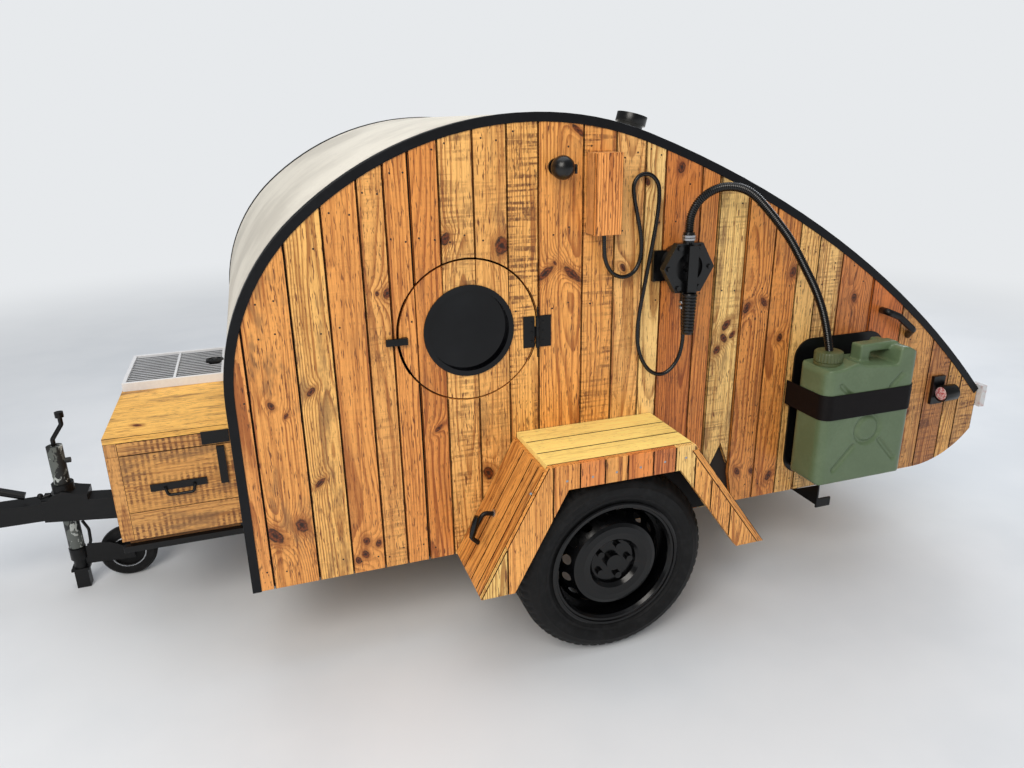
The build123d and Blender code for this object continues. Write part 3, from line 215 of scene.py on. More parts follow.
def wood_material(name, contrast=1.0, gloss=0.42, ripple=110.0, rings=185.0, pitch=None):
    """Sawn boards: every board brings its grain frame, tone, marks and knots as attributes."""
    g = Surface(name)
    grain = g.attribute("grain")
    tone = g.attribute("tone", "Color")
    speckle, sawn, stained = g.parts(g.attribute("marks"))
    start, pith_across, pith_deep = g.parts(g.attribute("seed"))
    place = g.vector("ADD", grain, g.join(start, start * 0.37, start))

    def grained(across, along, detail, roughness=0.55):
        """Noise drawn out along the board."""
        return g.noise(g.vector("MULTIPLY", place, (across, across, along)), 1.0, detail, roughness)

    # Knots push the rings aside
    ragged = g.noise(place, 55.0, 3.0, 0.7) - 0.5
    leans = g.parts(g.attribute("leans", "Color"), "ShaderNodeSeparateColor")
    leans.append(g.attribute("leans", "Alpha"))
    ratios = []
    pushes = []
    for key, lean in zip(KNOT_KEYS, leans):
        x, z, size = g.parts(g.attribute(key))
        away = g.parts(g.vector("SUBTRACT", grain, g.join(x, 0.0, z)))
        away = g.join(away[0] - away[2] * (lean - 1.0), 0.0, away[2] * 0.72)
        far = g.vector("LENGTH", away) + ragged * (size * 0.75)
        ratios.append(far / g.math("MAXIMUM", size, 0.00001))
        pushes.append(g.math("EXPONENT", ratios[-1] * -0.8) * 2.6 * size)
    nearest = g.math("MINIMUM", g.math("MINIMUM", *ratios[:2]), g.math("MINIMUM", *ratios[2:]))

    # Yearly rings round the board's pith
    split = g.parts(grain)
    drift = (grained(4, 0.9, 2.0) - 0.5) * 0.060
    wave = (grained(16, 5, 3.0) - 0.5) * 0.009
    across = split[0] + wave - pith_across
    depth = pith_deep + split[1] + drift
    radius = g.math("SQRT", across * across + depth * depth) + sum(pushes)
    turn = g.math("FRACT", radius * rings)
    ring = g.math("POWER", g.band(turn, 0.10, 0.88), 2.4) * g.band(turn, 0.90, 1.0, 1.0, 0.0)
    ring = ring * g.band(grained(12, 1.6, 2.0), 0.30, 0.62, 0.25, 1.0)

    streak = grained(110, 2.0, 4.0, 0.65)
    fibre = grained(380, 22, 3.0, 0.65)
    patch = grained(9, 2.4, 3.0)
    dark = ring * (0.76 * contrast) + g.band(streak, 0.46, 0.70) * (0.62 * contrast)
    dark = g.math("ADD", dark + (fibre - 0.5) * 1.3, (patch - 0.5) * 0.9, clamp=True)
    light_tone = g.mix(1.0, tone, (1.16, 1.20, 1.18, 1), "MULTIPLY")
    dark_tone = g.mix(1.0, tone, (0.50, 0.37, 0.26, 1), "MULTIPLY")
    colour = g.mix(dark, light_tone, dark_tone)

    # Short dark dashes along the grain
    dashes = g.band(grained(300, 30, 2.0, 0.5), 0.60, 0.68)
    colour = g.mix(dashes * (0.75 * contrast), colour, srgb(104, 52, 24))

    # Saw marks run across the board, in patches; with a pitch they are even ripples
    comb = grained(7, ripple, 2.0, 0.5)
    if pitch:
        comb = g.math("SINE", split[2] * (6.283 / pitch) + comb * 4.0) * 0.09 + 0.53
    saw = g.band(comb, 0.46, 0.60) * g.band(grained(16, 7, 3.0), 0.34, 0.60)
    saw = saw * g.band(grained(150, 60, 3.0, 0.6), 0.34, 0.56, 0.2, 1.0) * sawn
    colour = g.mix(saw * 0.85, colour, srgb(96, 50, 24))

    # Dark specks in the torn grain
    speck = g.band(grained(170, 52, 2.0, 0.5), 0.60, 0.67) * g.band(grained(11, 4, 2.0), 0.30, 0.62) * speckle
    colour = g.mix(speck * 0.9, colour, srgb(60, 30, 16))

    # Brown and grey stains
    stain = g.band(grained(17, 4.6, 4.0, 0.7), 0.50, 0.66) * stained
    colour = g.mix(stain * 0.78, colour, srgb(118, 82, 50))

    # Knots: a warm halo, the knot itself, its dark rim and its heart. Where a plank's knots stand in for
    # holes, the dark rim and heart are painted shade.
    halo = g.band(nearest, 1.0, 2.3, 0.7, 0.0)
    colour = g.mix(halo, colour, g.mix(0.3, dark_tone, srgb(120, 60, 22)))
    core = g.two_tones(g.noise(place, 190.0, 3.0), 0.35, 0.65, (70, 28, 2), (128, 60, 10))
    colour = g.mix(g.band(nearest, 0.72, 1.08, 1.0, 0.0), colour, core)
    rim = g.band(nearest, 0.60, 0.84) * g.band(nearest, 0.88, 1.1, 1.0, 0.0)
    uneven = g.band(g.noise(place, 40.0, 2.0), 0.38, 0.60)
    colour = g.mix(rim * 0.9 * uneven, colour, srgb(32, 14, 2))
    colour = g.mix(g.band(nearest, 0.18, 0.42, 0.9, 0.0), colour, srgb(30, 12, 2))

    height = fibre * 0.7 - dark * 0.5 - saw * 0.9 - speck * 0.9
    rough = streak * 0.22 + (gloss - 0.10)
    g.finish(Base_Color=colour, Roughness=rough, Normal=g.bump(height, 0.45, 0.0012))


def skin_material():
    """Pale roof covering with a faint weave and a few grey patches."""
    g = Surface("cream_skin")
    place = g.place()
    cloud = g.noise(place, 3.0, 4.0)
    fine = g.noise(place, 55.0, 4.0, 0.7)
    colour = g.two_tones(cloud, 0.38, 0.70, (224, 217, 203), (200, 193, 180))
    colour = g.mix(g.band(fine, 0.5, 0.8) * 0.35, colour, srgb(178, 170, 158))
    weave = g.noise(g.vector("MULTIPLY", place, (260.0, 700.0, 260.0)), 1.0, 2.0)
    g.finish(Base_Color=colour, Roughness=0.62, Normal=g.bump(weave, 0.22, 0.0006))


def painted(name, base, worn, roughness, grain=260.0, strength=0.12, metallic=0.0, shine=0.5):
    """Paint, plastic, metal or rubber: two close tones, uneven sheen and a fine skin."""
    g = Surface(name)
    place = g.place()
    cloud = g.noise(place, 11.0, 4.0, 0.6)
    dust = g.noise(place, 95.0, 3.0, 0.65)
    worn_share = g.band(cloud * 0.6 + dust * 0.4, 0.38, 0.72, 0.0, 0.4)
    g.finish(
        Base_Color=g.mix(worn_share, srgb(*base), srgb(*worn)),
        Roughness=dust * 0.16 + (roughness - 0.08),
        Metallic=metallic,
        Coat_Roughness=0.12,
        Specular_IOR_Level=shine,
        Normal=g.bump(g.noise(place, grain, 3.0, 0.6), strength, 0.0006),
    )


def camo_material():
    """Blotched tape in grey, black and pale patches."""
    g = Surface("camo_tape")
    place = g.vector("MULTIPLY", g.place(), (1.0, 1.0, 0.6))
    first = g.noise(place, 34.0, 3.0, 0.6, 0.4)
    second = g.noise(g.vector("ADD", place, (5.0, 2.0, 9.0)), 46.0, 3.0, 0.6, 0.4)
    colour = g.two_tones(first, 0.50, 0.54, (26, 27, 27), (88, 92, 88))
    colour = g.mix(g.band(second, 0.60, 0.63), colour, srgb(172, 176, 172))
    g.finish(Base_Color=colour, Roughness=0.55, Normal=g.bump(first, 0.3, 0.001))


def webbing_material():
    """Dark woven strap with ribs along it."""
    g = Surface("webbing")
    place = g.place()
    ribs = g.ribs(place, 190.0)
    thread = g.noise(g.vector("MULTIPLY", place, (900.0, 900.0, 160.0)), 1.0, 2.0)
    colour = g.two_tones(thread, 0.3, 0.8, (9, 7, 8), (22, 16, 17))
    bump = g.bump(ribs + thread * 0.6, 0.4, 0.0008)
    g.finish(Base_Color=colour, Roughness=0.55, Specular_IOR_Level=0.15, Normal=bump)


def glass_material():
    """Dark glazing: what is behind it does not show."""
    g = Surface("dark_glass")
    smear = g.noise(g.place(), 9.0, 4.0, 0.6)
    colour = g.two_tones(smear, 0.35, 0.75, (4, 4, 6), (13, 14, 17))
    g.finish(Base_Color=colour, Roughness=smear * 0.14, Specular_IOR_Level=0.3)


def lens_material(name, tones, blotch, span, ribs, rough, coat, strength):
    """Ribbed plastic in front of two blotched tones."""
    g = Surface(name)
    place = g.place()
    bump = g.bump(g.ribs(place, ribs), strength, 0.001)
    colour = g.two_tones(g.noise(place, blotch, 2.0), *span, *tones)
    g.finish(Base_Color=colour, Roughness=rough, Coat_Weight=coat, Normal=bump)


def tyre_material():
    """Black rubber, dusty in places."""
    g = Surface("tyre_rubber")
    place = g.place()
    dust = g.noise(place, 38.0, 5.0, 0.7)
    colour = g.two_tones(dust, 0.42, 0.72, (11, 11, 12), (27, 27, 28))
    bump = g.bump(g.noise(place, 600.0, 2.0), 0.15, 0.0004)
    g.finish(Base_Color=colour, Roughness=dust * 0.25 + 0.5, Specular_IOR_Level=0.25, Normal=bump)


def wall_material():
    """Plywood, pale inside the cabin, with painted shade on its face behind the gaps of the planks."""
    g = Surface("plywood")
    place = g.place()
    cloud = g.noise(g.vector("MULTIPLY", place, (3.0, 40.0, 1.0)), 3.0, 4.0, 0.6)
    inner = g.two_tones(cloud, 0.35, 0.7, (206, 170, 122), (176, 136, 90))
    # The plywood's outer face under the planks takes near black: painted shade of the gaps and holes between
    # the planks.
    shade_behind_planks = g.band(g.math("ABSOLUTE", g.parts(place)[1]), 0.6830, 0.6845)
    colour = g.mix(shade_behind_planks, inner, srgb(30, 20, 14))
    g.finish(Base_Color=colour, Roughness=0.65, Normal=g.bump(cloud, 0.2, 0.0008))


def make_materials():
    wood_material("pine_planks", 1.25)
    wood_material("box_wood", 0.8, 0.5, 30.0, 150.0, 0.016)
    wood_material("pale_boards", 0.34, 0.45, 110.0, 240.0)
    wood_material("outlet_wood", 1.25, 0.4, 110.0, 150.0)
    skin_material()
    tyre_material()
    glass_material()
    webbing_material()
    camo_material()
    wall_material()
    lens_material("lamp_lens", ((196, 92, 96), (232, 206, 204)), 130.0, (0.35, 0.65), 120.0, 0.12, 0.6, 0.4)
    lens_material("clear_lens", ((214, 214, 214), (206, 176, 172)), 60.0, (0.45, 0.75), 90.0, 0.15, 0.5, 0.5)
    painted("black_trim", (11, 12, 15), (25, 26, 31), 0.44, 120.0, 0.08, shine=0.22)
    painted("black_steel", (8, 8, 9), (22, 22, 24), 0.36, 300.0, 0.14, shine=0.3)
    painted("black_plastic", (6, 6, 7), (16, 16, 18), 0.30, 500.0)
    painted("bright_steel", (176, 178, 182), (120, 120, 122), 0.26, 300.0, 0.08, 0.9)
    painted("seal_rubber", (9, 9, 10), (24, 24, 26), 0.5, 400.0, shine=0.2)
    painted("green_plastic", (88, 106, 76), (112, 130, 100), 0.34, 90.0, 0.08)
    painted("cap_plastic", (74, 82, 50), (98, 106, 72), 0.40, 90.0)
    painted("hose_rubber", (4, 4, 5), (11, 11, 12), 0.26, 500.0, shine=0.45)
    painted("white_frame", (224, 224, 226), (196, 195, 196), 0.45, 200.0, 0.1)
    painted("rim_paint", (4, 4, 5), (12, 13, 15), 0.20, 300.0, 0.06, shine=0.36)
    # Dark brown for the bevels along the boards: painted shade of the seams between boards.
    painted("seam_shade", (16, 9, 6), (46, 25, 13), 0.7, 300.0, 0.2, shine=0.1)
    painted("nail_iron", (34, 22, 16), (70, 46, 30), 0.55, 900.0, 0.2)
    painted("slat_grey", (196, 198, 202), (150, 152, 158), 0.4, 300.0, 0.1)


def dress(obj, material):
    obj.data.materials.clear()
    obj.data.materials.append(materials[material])


def dress_frame():
    """Every CAD node takes the material of its slot in the record, but for the rims and the rear lamps."""
    for row in frame["record"]["subparts"]:
        dress(nodes[row["node"]], row["material_slot"])
    dress(nodes["rim_left"], "rim_paint")
    dress(nodes["rim_right"], "rim_paint")
    dress(nodes["rear_lamps"], "clear_lens")


# Boards

PLANK_BEVEL = 0.0016
BOX_BEVEL = 0.0012
FENDER_BEVEL = 0.0018
SEAM_ANGLE = 40
NO_KNOT = (9, 9, 0)


class Board:
    """How one board looks: tone, speckle, saw marks, stain, knots (across, along, size, lean) and pith."""

    def __init__(self, tone, speckle=0.2, saw=0.2, stain=0.1, knots=(), pith=None):
        self.tone = tone
        self.marks = (speckle, saw, stain)
        filled = (list(knots) + [NO_KNOT] * 4)[:4]
        self.knots = [knot[:3] for knot in filled]
        self.leans = [1.0 + (knot[3] if len(knot) > 3 else 0.35 * math.sin(90 * knot[0])) for knot in filled]
        self.pith = pith


def islands(made):
    """The separate pieces of a mesh, each as its own list of faces."""
    seen = set()
    pieces = []
    for first in made.faces:
        if first in seen:
            continue
        seen.add(first)
        todo = [first]
        pieces.append([])
        while todo:
            face = todo.pop()
            pieces[-1].append(face)
            for other in [other for edge in face.edges for other in edge.link_faces]:
                if other not in seen:
                    seen.add(other)
                    todo.append(other)
    return pieces


def clean_copy(node):
    """A CAD node's mesh with its triangles joined into flat faces."""
    made = bmesh.new()
    made.from_mesh(nodes[node].data)
    bmesh.ops.remove_doubles(made, verts=made.verts, dist=0.000005)
    bmesh.ops.dissolve_limit(made, angle_limit=math.radians(1.0), verts=made.verts, edges=made.edges)
    return made


def part_of(faces):
    """A new mesh with only these faces."""
    piece = bmesh.new()
    twins = {}
    for face in faces:
        for vert in face.verts:
            if vert not in twins:
                twins[vert] = piece.verts.new(vert.co)
        piece.faces.new([twins[vert] for vert in face.verts])
    piece.normal_update()
    return piece


def loose_pieces(node):
    """The separate solids of a CAD node, each as a mesh of its own."""
    whole = clean_copy(node)
    pieces = [part_of(faces) for faces in islands(whole)]
    whole.free()
    return pieces


def halve(piece, point, normal):
    """Keep the side of the plane that normal points away from, and close the cut."""
    geom = [*piece.verts, *piece.edges, *piece.faces]
    cut = bmesh.ops.bisect_plane(
        piece, geom=geom, dist=0.000001, plane_co=point, plane_no=normal, clear_outer=True
    )
    edges = [item for item in cut["geom_cut"] if isinstance(item, bmesh.types.BMEdge)]
    open_edges = [edge for edge in edges if edge.is_valid and edge.is_boundary]
    if open_edges:
        bmesh.ops.holes_fill(piece, edges=open_edges, sides=0)


def between(made, axis, low, high):
    """A copy of a mesh between two planes square to an axis, closed at the cuts."""
    normal = Vector([float(index == axis) for index in range(3)])
    piece = made.copy()
    halve(piece, normal * high, normal)
    if len(piece.faces):
        halve(piece, normal * low, -normal)
    return piece


def strips(node, places, gap):
    """A CAD node cut across x into boards, with a gap between boards."""
    whole = clean_copy(node)
    bounds = [-99.0, *places, 99.0]
    pieces = [between(whole, 0, low + gap / 2, high - gap / 2) for low, high in zip(bounds, bounds[1:])]
    whole.free()
    return [piece for piece in pieces if len(piece.faces)]


def extents(piece):
    """Lowest and highest place of a mesh along x, y and z."""
    places = [vert.co for vert in piece.verts]
    return [tuple(pick(place[axis] for place in places) for axis in range(3)) for pick in (min, max)]


def average(places):
    return sum(places, Vector()) / len(places)


def round_edges(made, width, angle):
    """Bevels the sharp edges of a mesh and returns the new faces."""
    sharp = [
        edge
        for edge in made.edges
        if len(edge.link_faces) == 2 and edge.calc_face_angle(0) > math.radians(angle)
    ]
    return bmesh.ops.bevel(
        made, geom=sharp, offset=width, segments=2, profile=0.6, affect="EDGES", clamp_overlap=True
    )["faces"]


def add_piece(name, mesh, body, replaces=()):
    """A piece of the part that rides on a body."""
    obj = add_object(name, mesh)
    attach(obj, body)
    if replaces:
        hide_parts(*replaces)
    return obj


class Planking:
    """Boards gathered into one piece that stands for CAD nodes."""

    def __init__(self, name, seed):
        self.name = name
        self.random = random.Random(seed)
        self.whole = bmesh.new()
        layers = self.whole.verts.layers
        self.vectors = {key: layers.float_vector.new(key) for key in ("grain", "marks", "seed", *KNOT_KEYS)}
        self.tone = layers.float_color.new("tone")
        self.leans = layers.float_color.new("leans")

    def add(self, piece, frame_of_board, look, bevel=PLANK_BEVEL, seed=None):
        """frame_of_board takes board coordinates (across, deep, along) to the part's frame.

        A bevel's face that runs along the board takes the second material, painted shade of the seams.
        """
        along = frame_of_board.to_3x3() @ Vector(Z)
        for face in round_edges(piece, bevel, SEAM_ANGLE):
            longest = max(face.edges, key=lambda edge: edge.calc_length())
            run = (longest.verts[1].co - longest.verts[0].co).normalized()
            face.material_index = int(abs(run.dot(along)) > 0.85)
        back = frame_of_board.inverted()
        chance = self.random
        pith = look.pith or (chance.uniform(-0.05, 0.05), chance.uniform(0.03, 0.11))
        start = chance.uniform(0, 90)
        if seed is not None:
            start, pith = seed
        twins = {}
        for vert in piece.verts:
            twin = self.whole.verts.new(vert.co)
            twin[self.vectors["grain"]] = back @ vert.co
            twin[self.vectors["marks"]] = look.marks
            twin[self.vectors["seed"]] = (start, *pith)
            for key, knot in zip(KNOT_KEYS, look.knots):
                twin[self.vectors[key]] = knot
            twin[self.tone] = srgb(*look.tone)
            twin[self.leans] = look.leans
            twins[vert] = twin
        for face in piece.faces:
            self.whole.faces.new([twins[vert] for vert in face.verts]).material_index = face.material_index
        piece.free()
        return start, pith

    def build(self, body, replaces, material="pine_planks"):
        mesh = bpy.data.meshes.new(self.name)
        bmesh.ops.recalc_face_normals(self.whole, faces=self.whole.faces)
        self.whole.to_mesh(mesh)
        self.whole.free()
        mesh.materials.append(materials[material])
        mesh.materials.append(materials["seam_shade"])
        add_piece(self.name, mesh, body, [replaces])


def board_frame(origin, across, along):
    across = Vector(across).normalized()
    along = Vector(along).normalized()
    deep = along.cross(across)
    turn = Matrix((across, deep, along)).transposed().to_4x4()
    return Matrix.Translation(origin) @ turn


# Planks of the left side from the front: right edge, tone, speckle, saw marks, stain, knots
PLANKS = [
    (0.059, (224, 150, 80), 0.8, 0.1, 0.1, [(0.03, 0.70, 0.006)]),
    (0.182, (226, 154, 80), 0.3, 0.1, 0.8, [
        (0.109, 0.534, 0.008), (0.150, 0.181, 0.016, -0.1), (0.077, 0.163, 0.019, -0.5),
        (0.142, 0.502, 0.006),
    ]),
    (0.277, (236, 178, 100), 0.3, 0.2, 0.8, [(0.211, 0.560, 0.009, 0.6), (0.209, 0.299, 0.010, 0.8)]),
    (0.368, (226, 152, 78), 0.2, 0.1, 0.2, [
        (0.319, 0.098, 0.010), (0.353, 0.084, 0.009), (0.313, 0.056, 0.010), (0.292, 0.040, 0.008),
    ]),
    (0.434, (230, 164, 90), 0.7, 0.4, 0.1, [(0.426, 0.801, 0.011, 0.2), (0.400, 0.803, 0.005)]),
    (0.498, (226, 150, 76), 0.3, 0.1, 0.1, []),
    (0.573, (218, 140, 68), 0.4, 0.1, 0.3, [(0.545, 0.411, 0.008, 0.7)]),
    (0.664, (238, 178, 102), 0.4, 0.7, 0.2, [(0.586, 0.931, 0.013, 0.3)]),
    (0.755, (234, 170, 94), 0.4, 0.4, 0.5, [(0.737, 0.903, 0.019, 0.1), (0.683, 0.249, 0.016)]),
    (0.842, (236, 172, 94), 0.7, 1.0, 0.2, []),
    (0.971, (236, 162, 84), 0.3, 0.1, 0.3, [
        (0.862, 0.820, 0.015, 0.9), (0.942, 0.812, 0.016, -0.9), (0.954, 1.190, 0.011, -0.9),
        (0.890, 0.846, 0.005),
    ]),
    (1.067, (230, 160, 84), 0.4, 0.9, 0.3, []),
    (1.157, (236, 176, 104), 0.5, 0.3, 0.2, [(1.097, 0.819, 0.008)]),
    (1.220, (244, 198, 126), 0.2, 0.1, 0.1, [(1.164, 1.052, 0.008)]),
    (1.338, (206, 124, 58), 0.3, 0.1, 0.4, [(1.269, 1.087, 0.012, 0.1)]),
    (1.401, (216, 136, 66), 0.3, 0.1, 0.3, []),
    # This plank's four knots stand in for a group of holes: their dark rims and hearts are painted shade.
    (1.503, (242, 198, 124), 0.4, 0.6, 0.8, [
        (1.455, 0.616, 0.013, 0.5), (1.449, 0.574, 0.011, -0.4), (1.427, 0.540, 0.011, 0.3),
        (1.479, 0.584, 0.009, 0.5),
    ]),
    (1.605, (220, 144, 72), 1.0, 0.2, 0.3, [
        (1.524, 0.663, 0.012, 0.3), (1.584, 0.676, 0.011, -0.5), (1.540, 0.109, 0.010),
        (1.596, 0.101, 0.008),
    ]),
    (1.696, (218, 140, 68), 0.6, 0.2, 0.3, [
        (1.655, 0.554, 0.010), (1.681, 0.761, 0.012), (1.667, 0.071, 0.012),
    ]),
    (1.772, (238, 184, 110), 0.5, 0.3, 0.3, []),
    (1.866, (238, 188, 118), 0.3, 0.7, 0.2, []),
    (2.001, (206, 126, 66), 0.3, 0.1, 0.3, [(1.93, 0.66, 0.010)]),
    (2.141, (208, 116, 54), 0.2, 0.1, 0.4, []),
    (2.298, (214, 152, 86), 0.4, 0.5, 0.5, [(2.23, 0.22, 0.010)]),
    (2.395, (190, 126, 70), 0.4, 1.0, 0.5, []),
    (2.460, (224, 166, 92), 0.3, 0.5, 0.3, []),
    (2.600, (208, 152, 88), 0.5, 1.0, 0.4, []),
]
PLANK_EDGES = [0.0, *[row[0] for row in PLANKS]]
PLANK_MIDDLES = [(low + high) / 2 for low, high in zip(PLANK_EDGES, PLANK_EDGES[1:])]
PANEL_SEAM = 0.0022


def plank_looks(side):
    """The looks of one side's planks; the right side wears the left side's boards in another order."""
    order = list(range(len(PLANKS)))
    if side > 0:
        random.Random(7).shuffle(order)
    looks = []
    for other in order:
        tone, speckle, saw, stain, knots = PLANKS[other][1:]
        moved = [(knot[0] - PLANK_MIDDLES[other], *knot[1:]) for knot in knots]
        looks.append(Board(tone, speckle, saw, stain, moved))
    return looks


def build_side(side, cladding, boards, panel, panel_boards, panel_body, seed):
    """Planks of one side, and the same boards running on through its panel."""
    looks = plank_looks(side)
    seeds = {}
    seams = [CABIN_X + edge for edge in PLANK_EDGES[1:-1]]
    for name, node, body, pieces in (
        (boards, cladding, "trailer", loose_pieces(cladding)),
        (panel_boards, panel, panel_body, strips(panel, seams, PANEL_SEAM)),
    ):
        planking = Planking(name, seed)
        for piece in pieces:
            low, high = extents(piece)
            x = (low[0] + high[0]) / 2 - CABIN_X
            index = min(range(len(looks)), key=lambda index: abs(PLANK_MIDDLES[index] - x))
            turn = board_frame(at(PLANK_MIDDLES[index], 0, 0, side), X, Z)
            seeds[index] = planking.add(piece, turn, looks[index], seed=seeds.get(index))
        planking.build(body, node)


FLOOR_SIZE = 60
FLOOR_FADE = (2.6, 7.0)
WORLD_LIGHT = 0.62
WORLD_MIRRORED = 0.26
# Area lamps: place, size, power, colour
LAMPS = {
    "key": ((-2.6, -4.2, 4.2), 3.2, 205.0, (255, 250, 242)),
    "top": ((0.4, 0.2, 4.4), 4.0, 70.0, (246, 250, 255)),
    "rear": ((3.8, 2.6, 3.2), 2.6, 80.0, (246, 250, 255)),
}
LAMP_AIM = Vector((0.1, 0, 0.6))


def make_floor():
    """Pale floor that keeps the shadow near the trailer and fades into the backdrop."""
    g = Surface("floor")
    place = g.place()
    cloud = g.noise(place, 1.2, 4.0)
    colour = g.two_tones(cloud, 0.35, 0.7, (226, 228, 231), (217, 220, 224))
    g.finish(Base_Color=colour, Roughness=0.55)
    far = g.band(g.vector("LENGTH", place), *FLOOR_FADE)
    camera = g.node("ShaderNodeLightPath", output="Is Camera Ray")
    glossy = g.node("ShaderNodeLightPath", output="Is Glossy Ray")
    glow = g.node("ShaderNodeEmission", {"Color": BACKDROP, "Strength": 1.0})
    seen = far * g.math("MAXIMUM", camera, glossy)
    g.end("Material Output", g.mix_shader(seen, Value(g, g.shader.outputs[0]), glow))
    bpy.ops.mesh.primitive_plane_add(size=FLOOR_SIZE, location=(0, 0, 0))
    floor = bpy.context.active_object
    floor.name = "floor_stage"
    floor.data.materials.append(g.holder)


def make_lights():
    scene = bpy.context.scene
    scene.view_settings.view_transform = "Standard"
    scene.world = bpy.data.worlds.new("studio")
    g = Graph(scene.world)
    light = g.tree.nodes["Background"]
    light.inputs["Color"].default_value = srgb(*DAYLIGHT)
    light.inputs["Strength"].default_value = WORLD_LIGHT
    mirrored = g.node("ShaderNodeBackground", {"Color": srgb(*DAYLIGHT), "Strength": WORLD_MIRRORED})
    glossy = g.node("ShaderNodeLightPath", output="Is Glossy Ray")
    camera = g.node("ShaderNodeLightPath", output="Is Camera Ray")
    room = g.mix_shader(glossy, Value(g, light.outputs[0]), mirrored)
    g.end("World Output", g.mix_shader(camera, room, g.node("ShaderNodeBackground", {"Color": BACKDROP})))
    for name, (place, size, power, colour) in LAMPS.items():
        data = bpy.data.lights.new(name, "AREA")
        data.size = size
        data.energy = power
        data.color = srgb(*colour)[:3]
        lamp = add_object(name, data)
        lamp.location = place
        lamp.rotation_euler = (LAMP_AIM - Vector(place)).to_track_quat("-Z", "Y").to_euler()


# Boxes and fenders

# Thickness of the box's boards, width of its corner strips, height of the seam between its rows
BOX_T = 0.018
BOX_STRIP = 0.035
BOX_SEAM = 0.145
OUTLET_FACE = 0.012
# How far a cut reaches past the solid
PAST = 0.01
# Boards farther out than this from the planks belong to a fender's outer face
FENDER_FACE = 0.23


def cut_region(made, spans):
    """The part of a mesh inside spans along x, y and z; None stands for the whole run."""
    piece = made.copy()
    for axis, span in enumerate(spans):
        if span and len(piece.faces):
            smaller = between(piece, axis, *span)
            piece.free()
            piece = smaller
    return piece


def add_region(planking, made, spans, along, look):
    piece = cut_region(made, spans)
    if not len(piece.faces):
        piece.free()
        return
    lows, highs = extents(piece)
    middle = [(low + high) / 2 for low, high in zip(lows, highs)]
    across = max((axis for axis in range(3) if axis != along), key=lambda axis: highs[axis] - lows[axis])
    directions = Matrix.Identity(3)
    planking.add(piece, board_frame(middle, directions[across], directions[along]), look, BOX_BEVEL)


def build_box_wood(name, node, body, rows, cover, seed):
    """Side and end boards in rows, with upright corner strips; cover is the flat board's span in z."""
    planking = Planking(name, seed)
    made = clean_copy(node)
    low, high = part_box(node)
    sides = ((low.y - PAST, low.y + BOX_T), (high.y - BOX_T, high.y + PAST))
    ends = ((low.x - PAST, low.x + BOX_T), (high.x - BOX_T, high.x + PAST))
    inner_x = (ends[0][1], ends[1][0])
    inner_y = (sides[0][1], sides[1][0])
    row_looks = [Board((198, 142, 78), 0.6, 1.0, 1.0), Board((204, 146, 78), 0.6, 1.0, 0.8)]
    for span_z, look in zip(rows, row_looks):
        for y in sides:
            add_region(planking, made, ((low.x + BOX_STRIP, high.x + PAST), y, span_z), 0, look)
        for x in ends:
            add_region(planking, made, (x, inner_y, span_z), 1, look)
    strip = Board((204, 146, 82), 0.4, 0.6, 0.5)
    for y in sides:
        spans = ((low.x - PAST, low.x + BOX_STRIP), y, (rows[0][0], rows[-1][1]))
        add_region(planking, made, spans, 2, strip)
    if cover[0] < rows[0][0]:
        bottom = Board((140, 98, 56), 0.3, 0.3, 0.6)
        add_region(planking, made, (inner_x, inner_y, cover), 0, bottom)
    else:
        top = Board((238, 182, 92), 0.5, 0.0, 0.8, [(-0.30, -0.09, 0.010)])
        add_region(planking, made, (None, None, cover), 0, top)
    made.free()
    planking.build(body, node, "box_wood")


def build_boxes():
    low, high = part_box("front_box")
    seam = CABIN_Z + BOX_SEAM
    floor_top = low.z + BOX_T
    rows = [(floor_top, seam), (seam, high.z + PAST)]
    build_box_wood("box_boards", "front_box", "trailer", rows, (low.z - PAST, floor_top), 21)
    low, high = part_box("box_lid")
    cover = (high.z - BOX_T, high.z + PAST)
    build_box_wood("lid_boards", "box_lid", "front_lid", [(low.z - PAST, cover[0])], cover, 22)
    planking = Planking("outlet_boards", 23)
    made = clean_copy("outlet_box")
    low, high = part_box("outlet_box")
    face = low.y + OUTLET_FACE
    front = Board((238, 158, 84), 0.1, 0.0, 0.0, pith=(0.002, 0.018))
    add_region(planking, made, (None, (low.y - PAST, face), None), 2, front)
    back = Board((222, 158, 96), 0.1, 0.1, 0.0)
    add_region(planking, made, (None, (face, high.y + PAST), None), 2, back)
    made.free()
    planking.build("trailer", "outlet_box", material="outlet_wood")


# Upright boards of a fender's face from the front: right edge, tone, speckle, saw marks
FENDER_FACES = [
    (0.654, (246, 202, 122), 0.1, 0.1),
    (0.784, (238, 166, 88), 0.2, 0.1),
    (0.860, (234, 158, 82), 0.2, 0.1),
    (0.933, (226, 140, 74), 0.2, 0.1),
    (1.000, (236, 164, 88), 0.3, 0.1),
    (1.077, (224, 136, 68), 0.2, 0.1),
    (1.146, (206, 122, 66), 0.6, 0.2),
    (1.210, (244, 198, 122), 0.2, 0.1),
    (1.268, (236, 166, 88), 0.3, 0.1),
    (1.338, (234, 162, 84), 0.6, 0.1),
    (1.500, (238, 168, 90), 0.4, 0.1),
]


